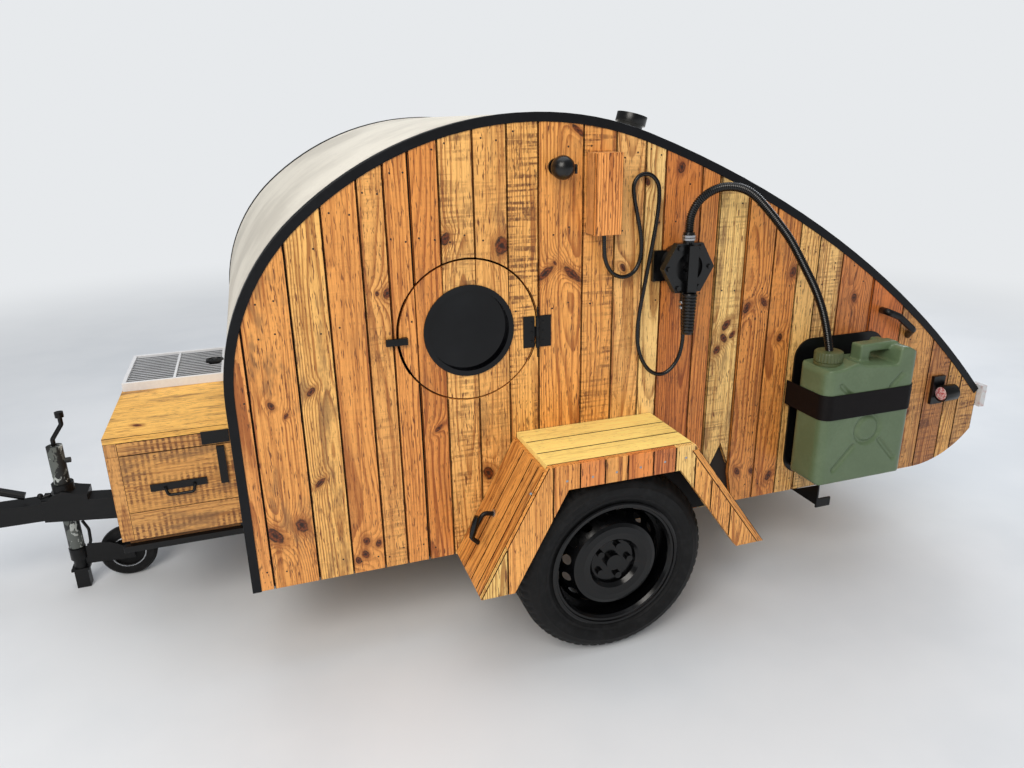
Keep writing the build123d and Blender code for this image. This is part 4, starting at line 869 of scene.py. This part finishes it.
def build_fender(word):
    """Upright boards of the outer face and sloping boards along the fender's ends."""
    node = "fender_boards_" + word
    planking = Planking("fender_wood_" + word, 31)
    for piece in loose_pieces(node):
        places = [vert.co for vert in piece.verts]
        middle = average(places)
        if min(abs(place.y) for place in places) > abs(SIDE_Y) + FENDER_FACE:
            _, tone, speckle, saw = next(row for row in FENDER_FACES if middle.x - CABIN_X < row[0])
            look = Board(tone, speckle, saw, 0.2)
            turn = board_frame((middle.x, middle.y, CABIN_Z), X, Z)
        else:
            low, high = extents(piece)
            foot = [place for place in places if place.z < low[2] + 0.002]
            head = [place for place in places if place.z > high[2] - 0.002]
            run = average(head) - average(foot)
            run.y = 0
            look = Board((218, 148, 74), 0.15, 0.1, 0.4, pith=(0.05, 0.22))
            turn = board_frame(middle, Y, run)
        planking.add(piece, turn, look, FENDER_BEVEL)
    planking.build("trailer", node)


def build_decks():
    """Flat boards on top of both fenders."""
    planking = Planking("deck_boards", 32)
    look = Board((248, 216, 128), 0.3, 0.0, 0.1)
    for piece in loose_pieces("fender_decks"):
        middle = average([vert.co for vert in piece.verts])
        planking.add(piece, board_frame(middle, Y, X), look, FENDER_BEVEL)
    planking.build("trailer", "fender_decks", "pale_boards")


# Turned and swept pieces


def add_skin(made, rings, following, closed):
    """Faces between each ring of points and the one that follows it."""
    for ring, after in zip(rings, following):
        count = len(ring)
        for index in range(count if closed else count - 1):
            other = (index + 1) % count
            corners = list(dict.fromkeys([ring[index], ring[other], after[other], after[index]]))
            if len(corners) > 2:
                made.faces.new(corners)


def add_turned(made, profile, centre, axis, segments=48, shape=None):
    """Surface turned about an axis from (radius, along) points, closed on itself where it ends off the axis.

    shape may change a point's radius: shape(step, index of the point, radius).
    """
    axis = Vector(axis).normalized()
    first = axis.orthogonal().normalized()
    second = axis.cross(first)
    centre = Vector(centre)
    rings = []
    for step in range(segments):
        angle = 2 * math.pi * step / segments
        outward = first * math.cos(angle) + second * math.sin(angle)
        ring = []
        for index, (radius, along) in enumerate(profile):
            if radius == 0 and step:
                ring.append(rings[0][index])
            else:
                size = shape(step, index, radius) if shape and radius else radius
                ring.append(made.verts.new(centre + outward * size + axis * along))
        rings.append(ring)
    closed = profile[0][0] != 0 or profile[-1][0] != 0
    add_skin(made, rings, rings[1:] + rings[:1], closed)


def add_block(made, low, high):
    low = Vector(low)
    high = Vector(high)
    for vert in bmesh.ops.create_cube(made, size=1.0)["verts"]:
        vert.co = (low + high) / 2 + vert.co * (high - low)


def finish_piece(
    name, made, material, body="trailer", slot="black_steel", replaces=(), bevel=0.0, angle=35
):
    """Turns a mesh under work into a piece that rides on a body."""
    bmesh.ops.recalc_face_normals(made, faces=made.faces)
    if bevel:
        round_edges(made, bevel, angle)
    mesh = bpy.data.meshes.new(name)
    made.to_mesh(mesh)
    made.free()
    mesh.polygons.foreach_set("use_smooth", [True] * len(mesh.polygons))
    mesh.set_sharp_from_angle(angle=math.radians(angle))
    obj = add_piece(name, mesh, body, replaces)
    dress(obj, material)
    return obj


def turned_piece(name, profile, centre, axis, segments, material, shape=None, **finish):
    made = bmesh.new()
    add_turned(made, profile, centre, axis, segments, shape)
    finish_piece(name, made, material, **finish)


def add_modifier(obj, kind, **settings):
    modifier = obj.modifiers.new(kind.lower(), kind)
    for key, value in settings.items():
        setattr(modifier, key, value)


def soften(node, width=0.0012, angle=32):
    """Rounds the edges of a CAD node that stays."""
    add_modifier(nodes[node], "WELD", merge_threshold=0.00001)
    rounding = {"width": width, "segments": 2, "limit_method": "ANGLE", "angle_limit": math.radians(angle)}
    add_modifier(nodes[node], "BEVEL", **rounding, harden_normals=False)


# Wheels

TYRE_PROFILE = [
    (0.179, 0.0700), (0.190, 0.0742), (0.203, 0.0780), (0.206, 0.0800), (0.2085, 0.0826), (0.213, 0.0832),
    (0.2165, 0.0826), (0.2185, 0.0842), (0.228, 0.0878), (0.237, 0.0897), (0.246, 0.0890), (0.2475, 0.0876),
    (0.257, 0.0846), (0.2655, 0.0795), (0.267, 0.0772), (0.2745, 0.0716), (0.2800, 0.0650), (0.2840, 0.0580),
    (0.2855, 0.0500),
]
TREAD_GROOVES = [0.040, 0.014]
GROOVE_HALF = 0.004
GROOVE_DEPTH = 0.007
TREAD_PITCHES = 64
SHOULDER = (0.272, 0.046)
SHOULDER_CUT = 0.0035


def tyre_profile(radius):
    """Half a section from rim to tread, then its mirror image."""
    half = list(TYRE_PROFILE)
    for groove in TREAD_GROOVES:
        half += [
            (radius, groove + GROOVE_HALF),
            (radius - GROOVE_DEPTH, groove + GROOVE_HALF - 0.0012),
            (radius - GROOVE_DEPTH, groove - GROOVE_HALF + 0.0012),
            (radius, groove - GROOVE_HALF),
        ]
    return half + [(size, -place) for size, place in half[::-1]]


def build_tyre(word):
    node = "tyre_" + word
    low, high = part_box(node)
    profile = tyre_profile((high.z - low.z) / 2)
    radius, place = SHOULDER
    shoulder = {index for index, point in enumerate(profile) if point[0] > radius and abs(point[1]) > place}

    def cut_blocks(step, index, size):
        return size - SHOULDER_CUT if index in shoulder and step % 5 in (3, 4) else size

    turned_piece(
        node + "_rubber", profile, (low + high) / 2, Y, TREAD_PITCHES * 5, "tyre_rubber", cut_blocks,
        body="wheel_" + word, slot="tyre_rubber", replaces=[node], angle=28,
    )


def build_jockey_rim():
    """A thin bright ring on each face of the jockey wheel."""
    low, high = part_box("jockey_wheel")
    half = (high.y - low.y) / 2
    profile = [
        (0.0575, half - 0.001), (0.0560, half + 0.0002), (0.0535, half - 0.0005), (0.0525, half - 0.006),
        (0.0545, half - 0.008),
    ]
    made = bmesh.new()
    for side, _ in SIDES:
        ring = [(size, side * place) for size, place in profile]
        add_turned(made, ring, (low + high) / 2, Y, 64)
    finish_piece("jockey_rim_rings", made, "bright_steel", "jockey_roller", angle=50)


# Hoses

WATER_HOSE_D = 0.025
SUPPLY_HOSE_D = 0.012
WATER_LENGTH = 0.848
SUPPLY_LENGTH = 1.375
RING_STEP = 0.0015
# Routes on the side of the cabin: x, distance out from the planks, height
WATER_ROUTE = [
    (1.268, 0.060, 0.915), (1.268, 0.060, 0.942), (1.273, 0.060, 0.968), (1.290, 0.061, 0.998),
    (1.324, 0.062, 1.024), (1.370, 0.064, 1.036), (1.420, 0.066, 1.031), (1.462, 0.069, 1.012),
    (1.504, 0.073, 0.974), (1.547, 0.078, 0.929), (1.593, 0.084, 0.877), (1.643, 0.090, 0.801),
    (1.696, 0.097, 0.718), (1.738, 0.104, 0.622), (1.757, 0.1108, 0.532),
]
SUPPLY_ROUTE = [
    (1.021, 0.032, 0.922), (1.021, 0.032, 0.888), (1.028, 0.028, 0.842), (1.054, 0.022, 0.806),
    (1.093, 0.016, 0.792), (1.128, 0.014, 0.806), (1.146, 0.014, 0.846), (1.145, 0.014, 0.900),
    (1.130, 0.014, 0.962), (1.117, 0.014, 1.012), (1.113, 0.014, 1.050), (1.133, 0.015, 1.074),
    (1.165, 0.017, 1.074), (1.188, 0.021, 1.048), (1.189, 0.025, 1.012), (1.185, 0.028, 0.968),
    (1.174, 0.032, 0.906), (1.162, 0.032, 0.838), (1.150, 0.032, 0.766), (1.140, 0.028, 0.694),
    (1.138, 0.020, 0.622), (1.147, 0.026, 0.558), (1.179, 0.032, 0.506), (1.224, 0.040, 0.494),
    (1.264, 0.046, 0.536), (1.276, 0.050, 0.600), (1.268, 0.050, 0.660), (1.268, 0.050, 0.713),
]


def route_line(name, route):
    """Points along the smooth line that a route's points control."""
    curve = bpy.data.curves.new(name, "CURVE")
    curve.dimensions = "3D"
    spline = curve.splines.new("NURBS")
    spline.points.add(len(route) - 1)
    for point, place in zip(spline.points, route):
        point.co = (*at(*place), 1.0)
    spline.order_u = 3
    spline.use_endpoint_u = True
    spline.resolution_u = 24
    holder = bpy.data.objects.new(name, curve)
    line = bpy.data.meshes.new_from_object(holder)
    points = [vert.co.copy() for vert in line.vertices]
    bpy.data.objects.remove(holder)
    bpy.data.curves.remove(curve)
    bpy.data.meshes.remove(line)
    return points


def spaced(points, step):
    """The same line with points an even step apart."""
    lengths = [0.0]
    for before, after in zip(points, points[1:]):
        lengths.append(lengths[-1] + (after - before).length)
    count = round(lengths[-1] / step)
    result = []
    index = 0
    for number in range(count + 1):
        want = lengths[-1] * number / count
        while index < len(points) - 2 and lengths[index + 1] < want:
            index += 1
        span = lengths[index + 1] - lengths[index]
        share = (want - lengths[index]) / span if span else 0.0
        result.append(points[index].lerp(points[index + 1], share))
    return result


def add_tube(made, points, sides, radius_at):
    """Tube along points; radius_at(number of the ring, angle) gives its surface."""
    forward = (points[1] - points[0]).normalized()
    upward = forward.orthogonal().normalized()
    rings = []
    for number, point in enumerate(points):
        before = points[max(number - 1, 0)]
        after = points[min(number + 1, len(points) - 1)]
        forward = (after - before).normalized()
        upward = (upward - forward * upward.dot(forward)).normalized()
        sideways = forward.cross(upward)
        ring = []
        for side in range(sides):
            angle = 2 * math.pi * side / sides
            outward = upward * math.cos(angle) + sideways * math.sin(angle)
            ring.append(made.verts.new(point + outward * radius_at(number, angle)))
        rings.append(ring)
    add_skin(made, rings, rings[1:], True)
    made.faces.new(rings[0][::-1])
    made.faces.new(rings[-1])


def ribbed(number, angle):
    """Radius of the water hose: a rib to every fourth ring."""
    return WATER_HOSE_D / 2 * (0.92 + 0.08 * math.cos(number * math.pi / 2))


def braided(number, angle):
    """Radius of the supply hose: two crossing windings."""
    lift = math.sin(3 * angle + number * 0.8) * math.sin(3 * angle - number * 0.8)
    return SUPPLY_HOSE_D / 2 * (0.96 + 0.04 * lift)


def build_hoses():
    for node, name, route, length, diameter, sides, radius_at, angle in (
        ("water_hose", "water_hose_ribbed", WATER_ROUTE, WATER_LENGTH, WATER_HOSE_D, 20, ribbed, 60),
        ("supply_hose", "supply_hose_braided", SUPPLY_ROUTE, SUPPLY_LENGTH, SUPPLY_HOSE_D, 18, braided, 70),
    ):
        line = spaced(route_line(node + "_route", route), RING_STEP)
        made = bmesh.new()
        add_tube(made, line, sides, radius_at)
        hose = finish_piece(name, made, "hose_rubber", slot="hose_rubber", replaces=[node], angle=angle)


# Can

CAN_VOXEL = 0.0036
CAP_RIBS = 24
CAN_RING = (1.878, 0.281)
CAN_RAYS = [
    ((1.926, 0.242), (2.004, 0.158)), ((1.834, 0.233), (1.758, 0.152)),
    ((1.751, 0.443), (1.800, 0.400)), ((1.990, 0.455), (1.945, 0.410)),
]


def can_grooves(face):
    """Solid shapes of the ring and the four rays that are pressed into the can's face."""

    def on_face(x, z):
        place = at(x, 0, z)
        place.y = face
        return place

    made = bmesh.new()
    turns = [2 * math.pi * step / 12 for step in range(12)]
    profile = [(0.045 + 0.0075 * math.cos(turn), 0.0085 * math.sin(turn)) for turn in turns]
    add_turned(made, profile, on_face(*CAN_RING), Y, 48)
    for start, end in CAN_RAYS:
        first = on_face(*start)
        last = on_face(*end)
        run = (last - first).length
        ray = [(0, -0.003), (0.006, 0), (0.0085, 0.004)]
        ray += [(0.0085, run - 0.004), (0.006, run), (0, run + 0.003)]
        add_turned(made, ray, first, last - first, 16)
    bmesh.ops.recalc_face_normals(made, faces=made.faces)
    mesh = bpy.data.meshes.new("can_grooves")
    made.to_mesh(mesh)
    made.free()
    return add_object("can_grooves", mesh)


def build_can():
    """The can with its pressed pattern, and its corners rounded the way a blown can is."""
    made = clean_copy("jerrycan")
    bmesh.ops.triangulate(made, faces=made.faces)
    slot = "green_plastic"
    can = finish_piece("water_can", made, "green_plastic", slot=slot, replaces=["jerrycan"], angle=40)
    tool = can_grooves(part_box("jerrycan")[0].y)
    add_modifier(can, "BOOLEAN", operation="DIFFERENCE", solver="EXACT", object=tool)
    add_modifier(can, "REMESH", mode="VOXEL", voxel_size=CAN_VOXEL, use_smooth_shade=True)
    add_modifier(can, "SMOOTH", factor=0.5, iterations=6)
    bpy.context.view_layer.update()
    graph = bpy.context.evaluated_depsgraph_get()
    carved = bpy.data.meshes.new_from_object(can.evaluated_get(graph))
    can.modifiers.clear()
    can.data = carved
    dress(can, "green_plastic")
    bpy.data.objects.remove(tool)
    carved.polygons.foreach_set("use_smooth", [True] * len(carved.polygons))


def build_cap():
    low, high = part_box("can_cap")
    radius = (high.x - low.x) / 2
    half = (high.z - low.z) / 2
    profile = [
        (0, -half), (radius - 0.001, -half), (radius, -half + 0.001), (radius, -half + 0.009),
        (radius - 0.003, -half + 0.011), (radius, -half + 0.013), (radius, half - 0.006),
        (radius - 0.002, half - 0.002), (radius - 0.006, half), (0, half),
    ]
    ribbed_points = (5, 6)

    def grip(step, index, size):
        return size - 0.0018 if index in ribbed_points and step % 4 == 0 else size

    turned_piece(
        "ribbed_cap", profile, (low + high) / 2, Z, CAP_RIBS * 4, "cap_plastic", grip,
        slot="green_plastic", replaces=["can_cap"], angle=30,
    )
# Small fittings

BAR_RADIUS = 0.0065
GRIP_HALF = 0.034
PUMP_X = 1.268
# Clamps round the pump: distance out from the planks, height, radius
PUMP_CLAMPS = [(0.060, 0.897, 0.0165), (0.060, 0.905, 0.0165), (0.050, 0.716, 0.0105), (0.050, 0.700, 0.0105)]
GRIP_RIBS = 12
TRAY_RIM = 0.012
TRAY_DEPTH = 0.008
SLATS = 15
KNOB_IN = 0.036
# Middle of the side lamp's rear end
LENS_X = 2.336
LENS_OUT = 0.034
LENS_Z = 0.2885


def band_profile(radius, half, thick):
    return [(radius, -half), (radius + thick, -half), (radius + thick, half), (radius, half)]


def add_head(made, centre, outward, radius, height):
    """Domed head of a nail or screw on a surface."""
    profile = [(0, -0.0005), (radius, -0.0005), (radius, height * 0.4)]
    profile += [(radius * 0.7, height * 0.85), (0, height)]
    add_turned(made, profile, centre, outward, 10)


def build_pump_details():
    made = bmesh.new()
    for out, height, radius in PUMP_CLAMPS:
        add_turned(made, band_profile(radius, 0.003, 0.0025), at(PUMP_X, out, height), Z, 40)
    finish_piece("hose_clamps", made, "bright_steel", angle=40)
    profile = [(0, 0), (0.0145, 0)]
    for rib in range(GRIP_RIBS):
        start = 0.004 + rib * 0.0094
        girth = 0.0152 + 0.00035 * rib
        profile += [(girth, start), (girth + 0.0020, start + 0.0022)]
        profile += [(girth + 0.0020, start + 0.0062), (girth, start + 0.0084)]
    profile += [(0.0180, 0.118), (0, 0.118)]
    centre = at(PUMP_X - 0.003, 0.087, 0)
    centre.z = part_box("pump_lever")[0].z
    turned_piece("pump_grip", profile, centre, Z, 32, "black_plastic", slot="black_plastic")


def build_lid_panel():
    """White frame with dark glass under pale slats, a divider and a round knob."""
    low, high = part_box("lid_panel")
    front, back = low.x + TRAY_RIM, high.x - TRAY_RIM
    left, right = low.y + TRAY_RIM, high.y - TRAY_RIM
    floor = high.z - TRAY_DEPTH
    middle = (front + back) / 2
    pitch = (right - left) / SLATS
    lines = [left + (number + 0.5) * pitch for number in range(SLATS)]
    slats = [((front, y - 0.0021, floor + 0.001), (back, y + 0.0021, floor + 0.0035)) for y in lines]
    glass = ((front, left, floor - 0.001), (back, right, floor + 0.001))
    divider = ((middle - 0.004, left, floor + 0.0012), (middle + 0.004, right, floor + 0.0062))
    for name, blocks, material, bevel in (
        ("panel_glass", [glass], "dark_glass", 0.0),
        ("panel_slats", slats, "slat_grey", 0.0005),
        ("panel_divider", [divider], "white_frame", 0.0008),
    ):
        made = bmesh.new()
        for block in blocks:
            add_block(made, *block)
        finish_piece(name, made, material, "front_lid", "white_frame", bevel=bevel)
    profile = [
        (0, 0.001), (0.030, 0.001), (0.031, 0.005), (0.030, 0.0105), (0.022, 0.0125), (0.020, 0.009),
        (0.012, 0.009), (0.009, 0.0125), (0, 0.0125),
    ]
    knob = (high.x - KNOB_IN, (low.y + high.y) / 2, floor + 0.001)
    turned_piece(
        "panel_knob", profile, knob, Z, 40, "black_plastic",
        body="front_lid", slot="black_plastic", angle=30,
    )


def build_handles():
    """A thicker grip on each fender handle, and a plate under each of its ends."""
    half = GRIP_HALF
    grip = [
        (0, -half), (0.0072, -half), (0.0098, -half * 0.45), (0.0105, 0), (0.0098, half * 0.45),
        (0.0072, half), (0, half),
    ]
    plate = [(0, -0.0006), (0.0125, -0.0006), (0.0125, 0.0010), (0.0105, 0.0022), (0, 0.0022)]
    grips = bmesh.new()
    plates = bmesh.new()
    whole = clean_copy("fender_handles")
    for faces in islands(whole):
        spots = {vert.co.to_tuple() for face in faces for vert in face.verts}
        spots = [Vector(spot) for spot in spots]
        foot = min(spots, key=lambda spot: spot.z)
        head = max(spots, key=lambda spot: spot.z)
        along = Vector((head.x - foot.x, 0, head.z - foot.z)).normalized()
        outward = Vector((-along.z, 0, along.x))
        reach = [outward.dot(spot) for spot in spots]
        span = [along.dot(spot) for spot in spots]
        level = average(spots).y
        centre = along * (min(span) + max(span)) / 2 + outward * (max(reach) - BAR_RADIUS)
        centre.y = level
        add_turned(grips, grip, centre, along, 24)
        for end in (min(span) + BAR_RADIUS, max(span) - BAR_RADIUS):
            spot = along * end + outward * (min(reach) + 0.0002)
            spot.y = level
            add_turned(plates, plate, spot, outward, 24)
    whole.free()
    finish_piece("handle_grips", grips, "rim_paint", angle=50)
    finish_piece("handle_plates", plates, "bright_steel", angle=40)


def build_lamps():
    """Lens and rim on the rear end of each side lamp."""
    profile = [(0, -0.004), (0.012, -0.0035), (0.022, -0.0015), (0.024, 0.001), (0, 0.001)]
    bezel = band_profile(0.0245, 0.004, 0.0044)
    for side, word in SIDES:
        centre = at(LENS_X, LENS_OUT, LENS_Z, side)
        turned_piece("side_lens_" + word, profile, centre, X, 40, "lamp_lens", slot="lamp_lens", angle=40)
        centre.x += 0.002
        name = "side_bezel_" + word
        turned_piece(name, bezel, centre, X, 40, "black_plastic", slot="black_plastic", angle=30)


# Nails and screws

# Round disc of the left side: its middle, its radius for nails, and the rings of glass and seam without nails
DISC_X, DISC_Z, DISC_R = 0.641, 0.680, 0.19
GLASS_R = 0.135
DISC_SEAM = (0.183, 0.208)
# Door of the right side: its edges, the middle of its window, and the centre and radius of its rounded corner
DOOR_FRONT, DOOR_BACK, DOOR_FOOT, DOOR_TOP = 0.13, 0.61, 0.13, 1.06
WINDOW_X, WINDOW_Z = 0.4, 0.7
CORNER_X, CORNER_Z, CORNER_R = 0.53, 0.66, 0.38
DOOR_SEAM = 0.012
# Foot of the planks behind the side lamp, which takes no nails
LAMP_CORNER = (2.28, 0.12)
# Heads of nails and screws: radius and height
NAIL_HEAD = (0.0026, 0.0008)
FENDER_HEAD = (0.0036, 0.0004)
HINGE_HEAD = (0.0042, 0.0012)
# Level lines of nails; the upper one is left out where the line along the roof comes close to it
UPPER_ROW = 0.93
NAIL_ROWS = (0.045, 0.722, UPPER_ROW)
NAIL_IN = 0.05
ROW_ROOM = 0.09
NAILS_MISSING = 0.25
FENDER_SCREWS = (
    (0.720, 0.300), (0.822, 0.318), (0.896, 0.318), (0.966, 0.320), (1.038, 0.322), (1.112, 0.326),
    (1.178, 0.328),
)
FENDER_OUT = 0.260
HINGE_SCREWS = (0.632, 0.659, 0.686)


def roof_at(x):
    """Height of the planks' top edge above the cabin's bottom at x."""
    return min(roof_line, key=lambda point: abs(point[0] - x))[1]


def on_panel(side, x, z):
    """True where a nail rides on the porthole or the door."""
    if side < 0:
        return math.hypot(x - DISC_X, z - DISC_Z) < DISC_R
    return DOOR_FRONT < x < DOOR_BACK and DOOR_FOOT < z < DOOR_TOP


def skip_nail(side, x, z):
    """True where a nail would miss the planks or sit on an edge."""
    if side < 0:
        far = math.hypot(x - DISC_X, z - DISC_Z)
        if far < GLASS_R or DISC_SEAM[0] < far < DISC_SEAM[1]:
            return True
    elif DOOR_FRONT - 0.01 < x < DOOR_BACK + 0.01 and DOOR_FOOT - 0.01 < z < DOOR_TOP + 0.01:
        edge = min(x - DOOR_FRONT, DOOR_BACK - x, z - DOOR_FOOT, DOOR_TOP - z)
        window = math.hypot(x - WINDOW_X, z - WINDOW_Z)
        corner = x < CORNER_X and z > CORNER_Z and math.hypot(x - CORNER_X, z - CORNER_Z) > CORNER_R
        return edge < DOOR_SEAM or window < GLASS_R or corner
    return x > LAMP_CORNER[0] and z < LAMP_CORNER[1]


def build_nails():
    """Nail heads on the planks, on a few level lines and along the roof."""
    for side, word in SIDES:
        fixed = bmesh.new()
        leaf = bmesh.new()
        chance = random.Random(41 + side)
        for middle, low, high in zip(PLANK_MIDDLES, PLANK_EDGES, PLANK_EDGES[1:]):
            offset = min(0.022, (high - low) * 0.28)
            roof = roof_at(middle) - NAIL_IN
            for height in (*NAIL_ROWS, roof):
                if height > roof or (height == UPPER_ROW and roof - height < ROW_ROOM):
                    continue
                for shift in (-offset, offset):
                    x = middle + shift + chance.uniform(-0.004, 0.004)
                    z = height + chance.uniform(-0.012, 0.012)
                    if chance.random() < NAILS_MISSING or skip_nail(side, x, z):
                        continue
                    made = leaf if on_panel(side, x, z) else fixed
                    add_head(made, at(x, 0, z, side), (0, side, 0), *NAIL_HEAD)
        finish_piece("nails_" + word, fixed, "nail_iron")
        if len(leaf.verts):
            panel = "porthole" if side < 0 else "door"
            finish_piece(panel + "_nails", leaf, "nail_iron", panel)
        else:
            leaf.free()


def build_screws():
    """Pale screws of the fenders' face boards, and dark ones on the porthole's hinge."""
    made = bmesh.new()
    for side, _ in SIDES:
        for x, z in FENDER_SCREWS:
            add_head(made, at(x, FENDER_OUT, z, side), (0, side, 0), *FENDER_HEAD)
    finish_piece("fender_screws", made, "bright_steel")
    for name, body, x in (
        ("hinge_screws_fixed", "trailer", 0.8530),
        ("hinge_screws_moving", "porthole", 0.8200),
    ):
        made = bmesh.new()
        for z in HINGE_SCREWS:
            add_head(made, at(x, 0.0030, z), (0, -1, 0), *HINGE_HEAD)
        finish_piece(name, made, "black_steel", body)


def build_well_shade():
    """A thin black sheet on the planks inside each fender: painted shade of the deep wheel well."""
    outline = [(0.612, 0.004), (0.790, 0.340), (1.188, 0.340), (1.425, 0.004)]
    for side, word in SIDES:
        made = bmesh.new()
        rings = [[made.verts.new(at(x, out, z, side)) for x, z in outline] for out in (0.0003, 0.0030)]
        for ring in rings:
            made.faces.new(ring)
        add_skin(made, rings[:1], rings[1:], True)
        # The sheet takes the dark rubber material as painted shade inside the wheel well.
        finish_piece("well_shade_" + word, made, "seal_rubber")


roof_line = sorted(
    (vert.co.x - CABIN_X, vert.co.z - CABIN_Z)
    for vert in nodes["edge_trims"].data.vertices
    if vert.co.y < SIDE_Y and vert.co.z > CABIN_Z + 0.05
)
SOFT_NODES = [
    "box_hardware", "lid_hardware", "porthole_hardware", "fixed_hinges", "door_hardware", "hatch_hardware",
    "drawbar", "coupler_pole", "coupler_head", "jockey_clamp", "jockey_caster", "jockey_crank", "jockey_tube",
    "can_mount", "side_lamps", "rear_lamps", "lid_panel", "pump_body", "pump_lever", "roof_vent", "ball_lamp",
    "box_frame", "edge_trims", "axle_beam",
]

make_materials()
make_camera()
build_hoses()
dress_frame()
build_side(-1, "cladding_left", "planks_left", "porthole_disc", "disc_boards", "porthole", 11)
build_side(1, "cladding_right", "planks_right", "entry_door", "door_boards", "door", 12)
build_boxes()
build_fender("left")
build_fender("right")
build_decks()
build_tyre("left")
build_tyre("right")
build_jockey_rim()
build_can()
build_cap()
build_pump_details()
build_lid_panel()
build_handles()
build_lamps()
build_nails()
build_screws()
build_well_shade()
for node in SOFT_NODES:
    soften(node)
make_floor()
make_lights()
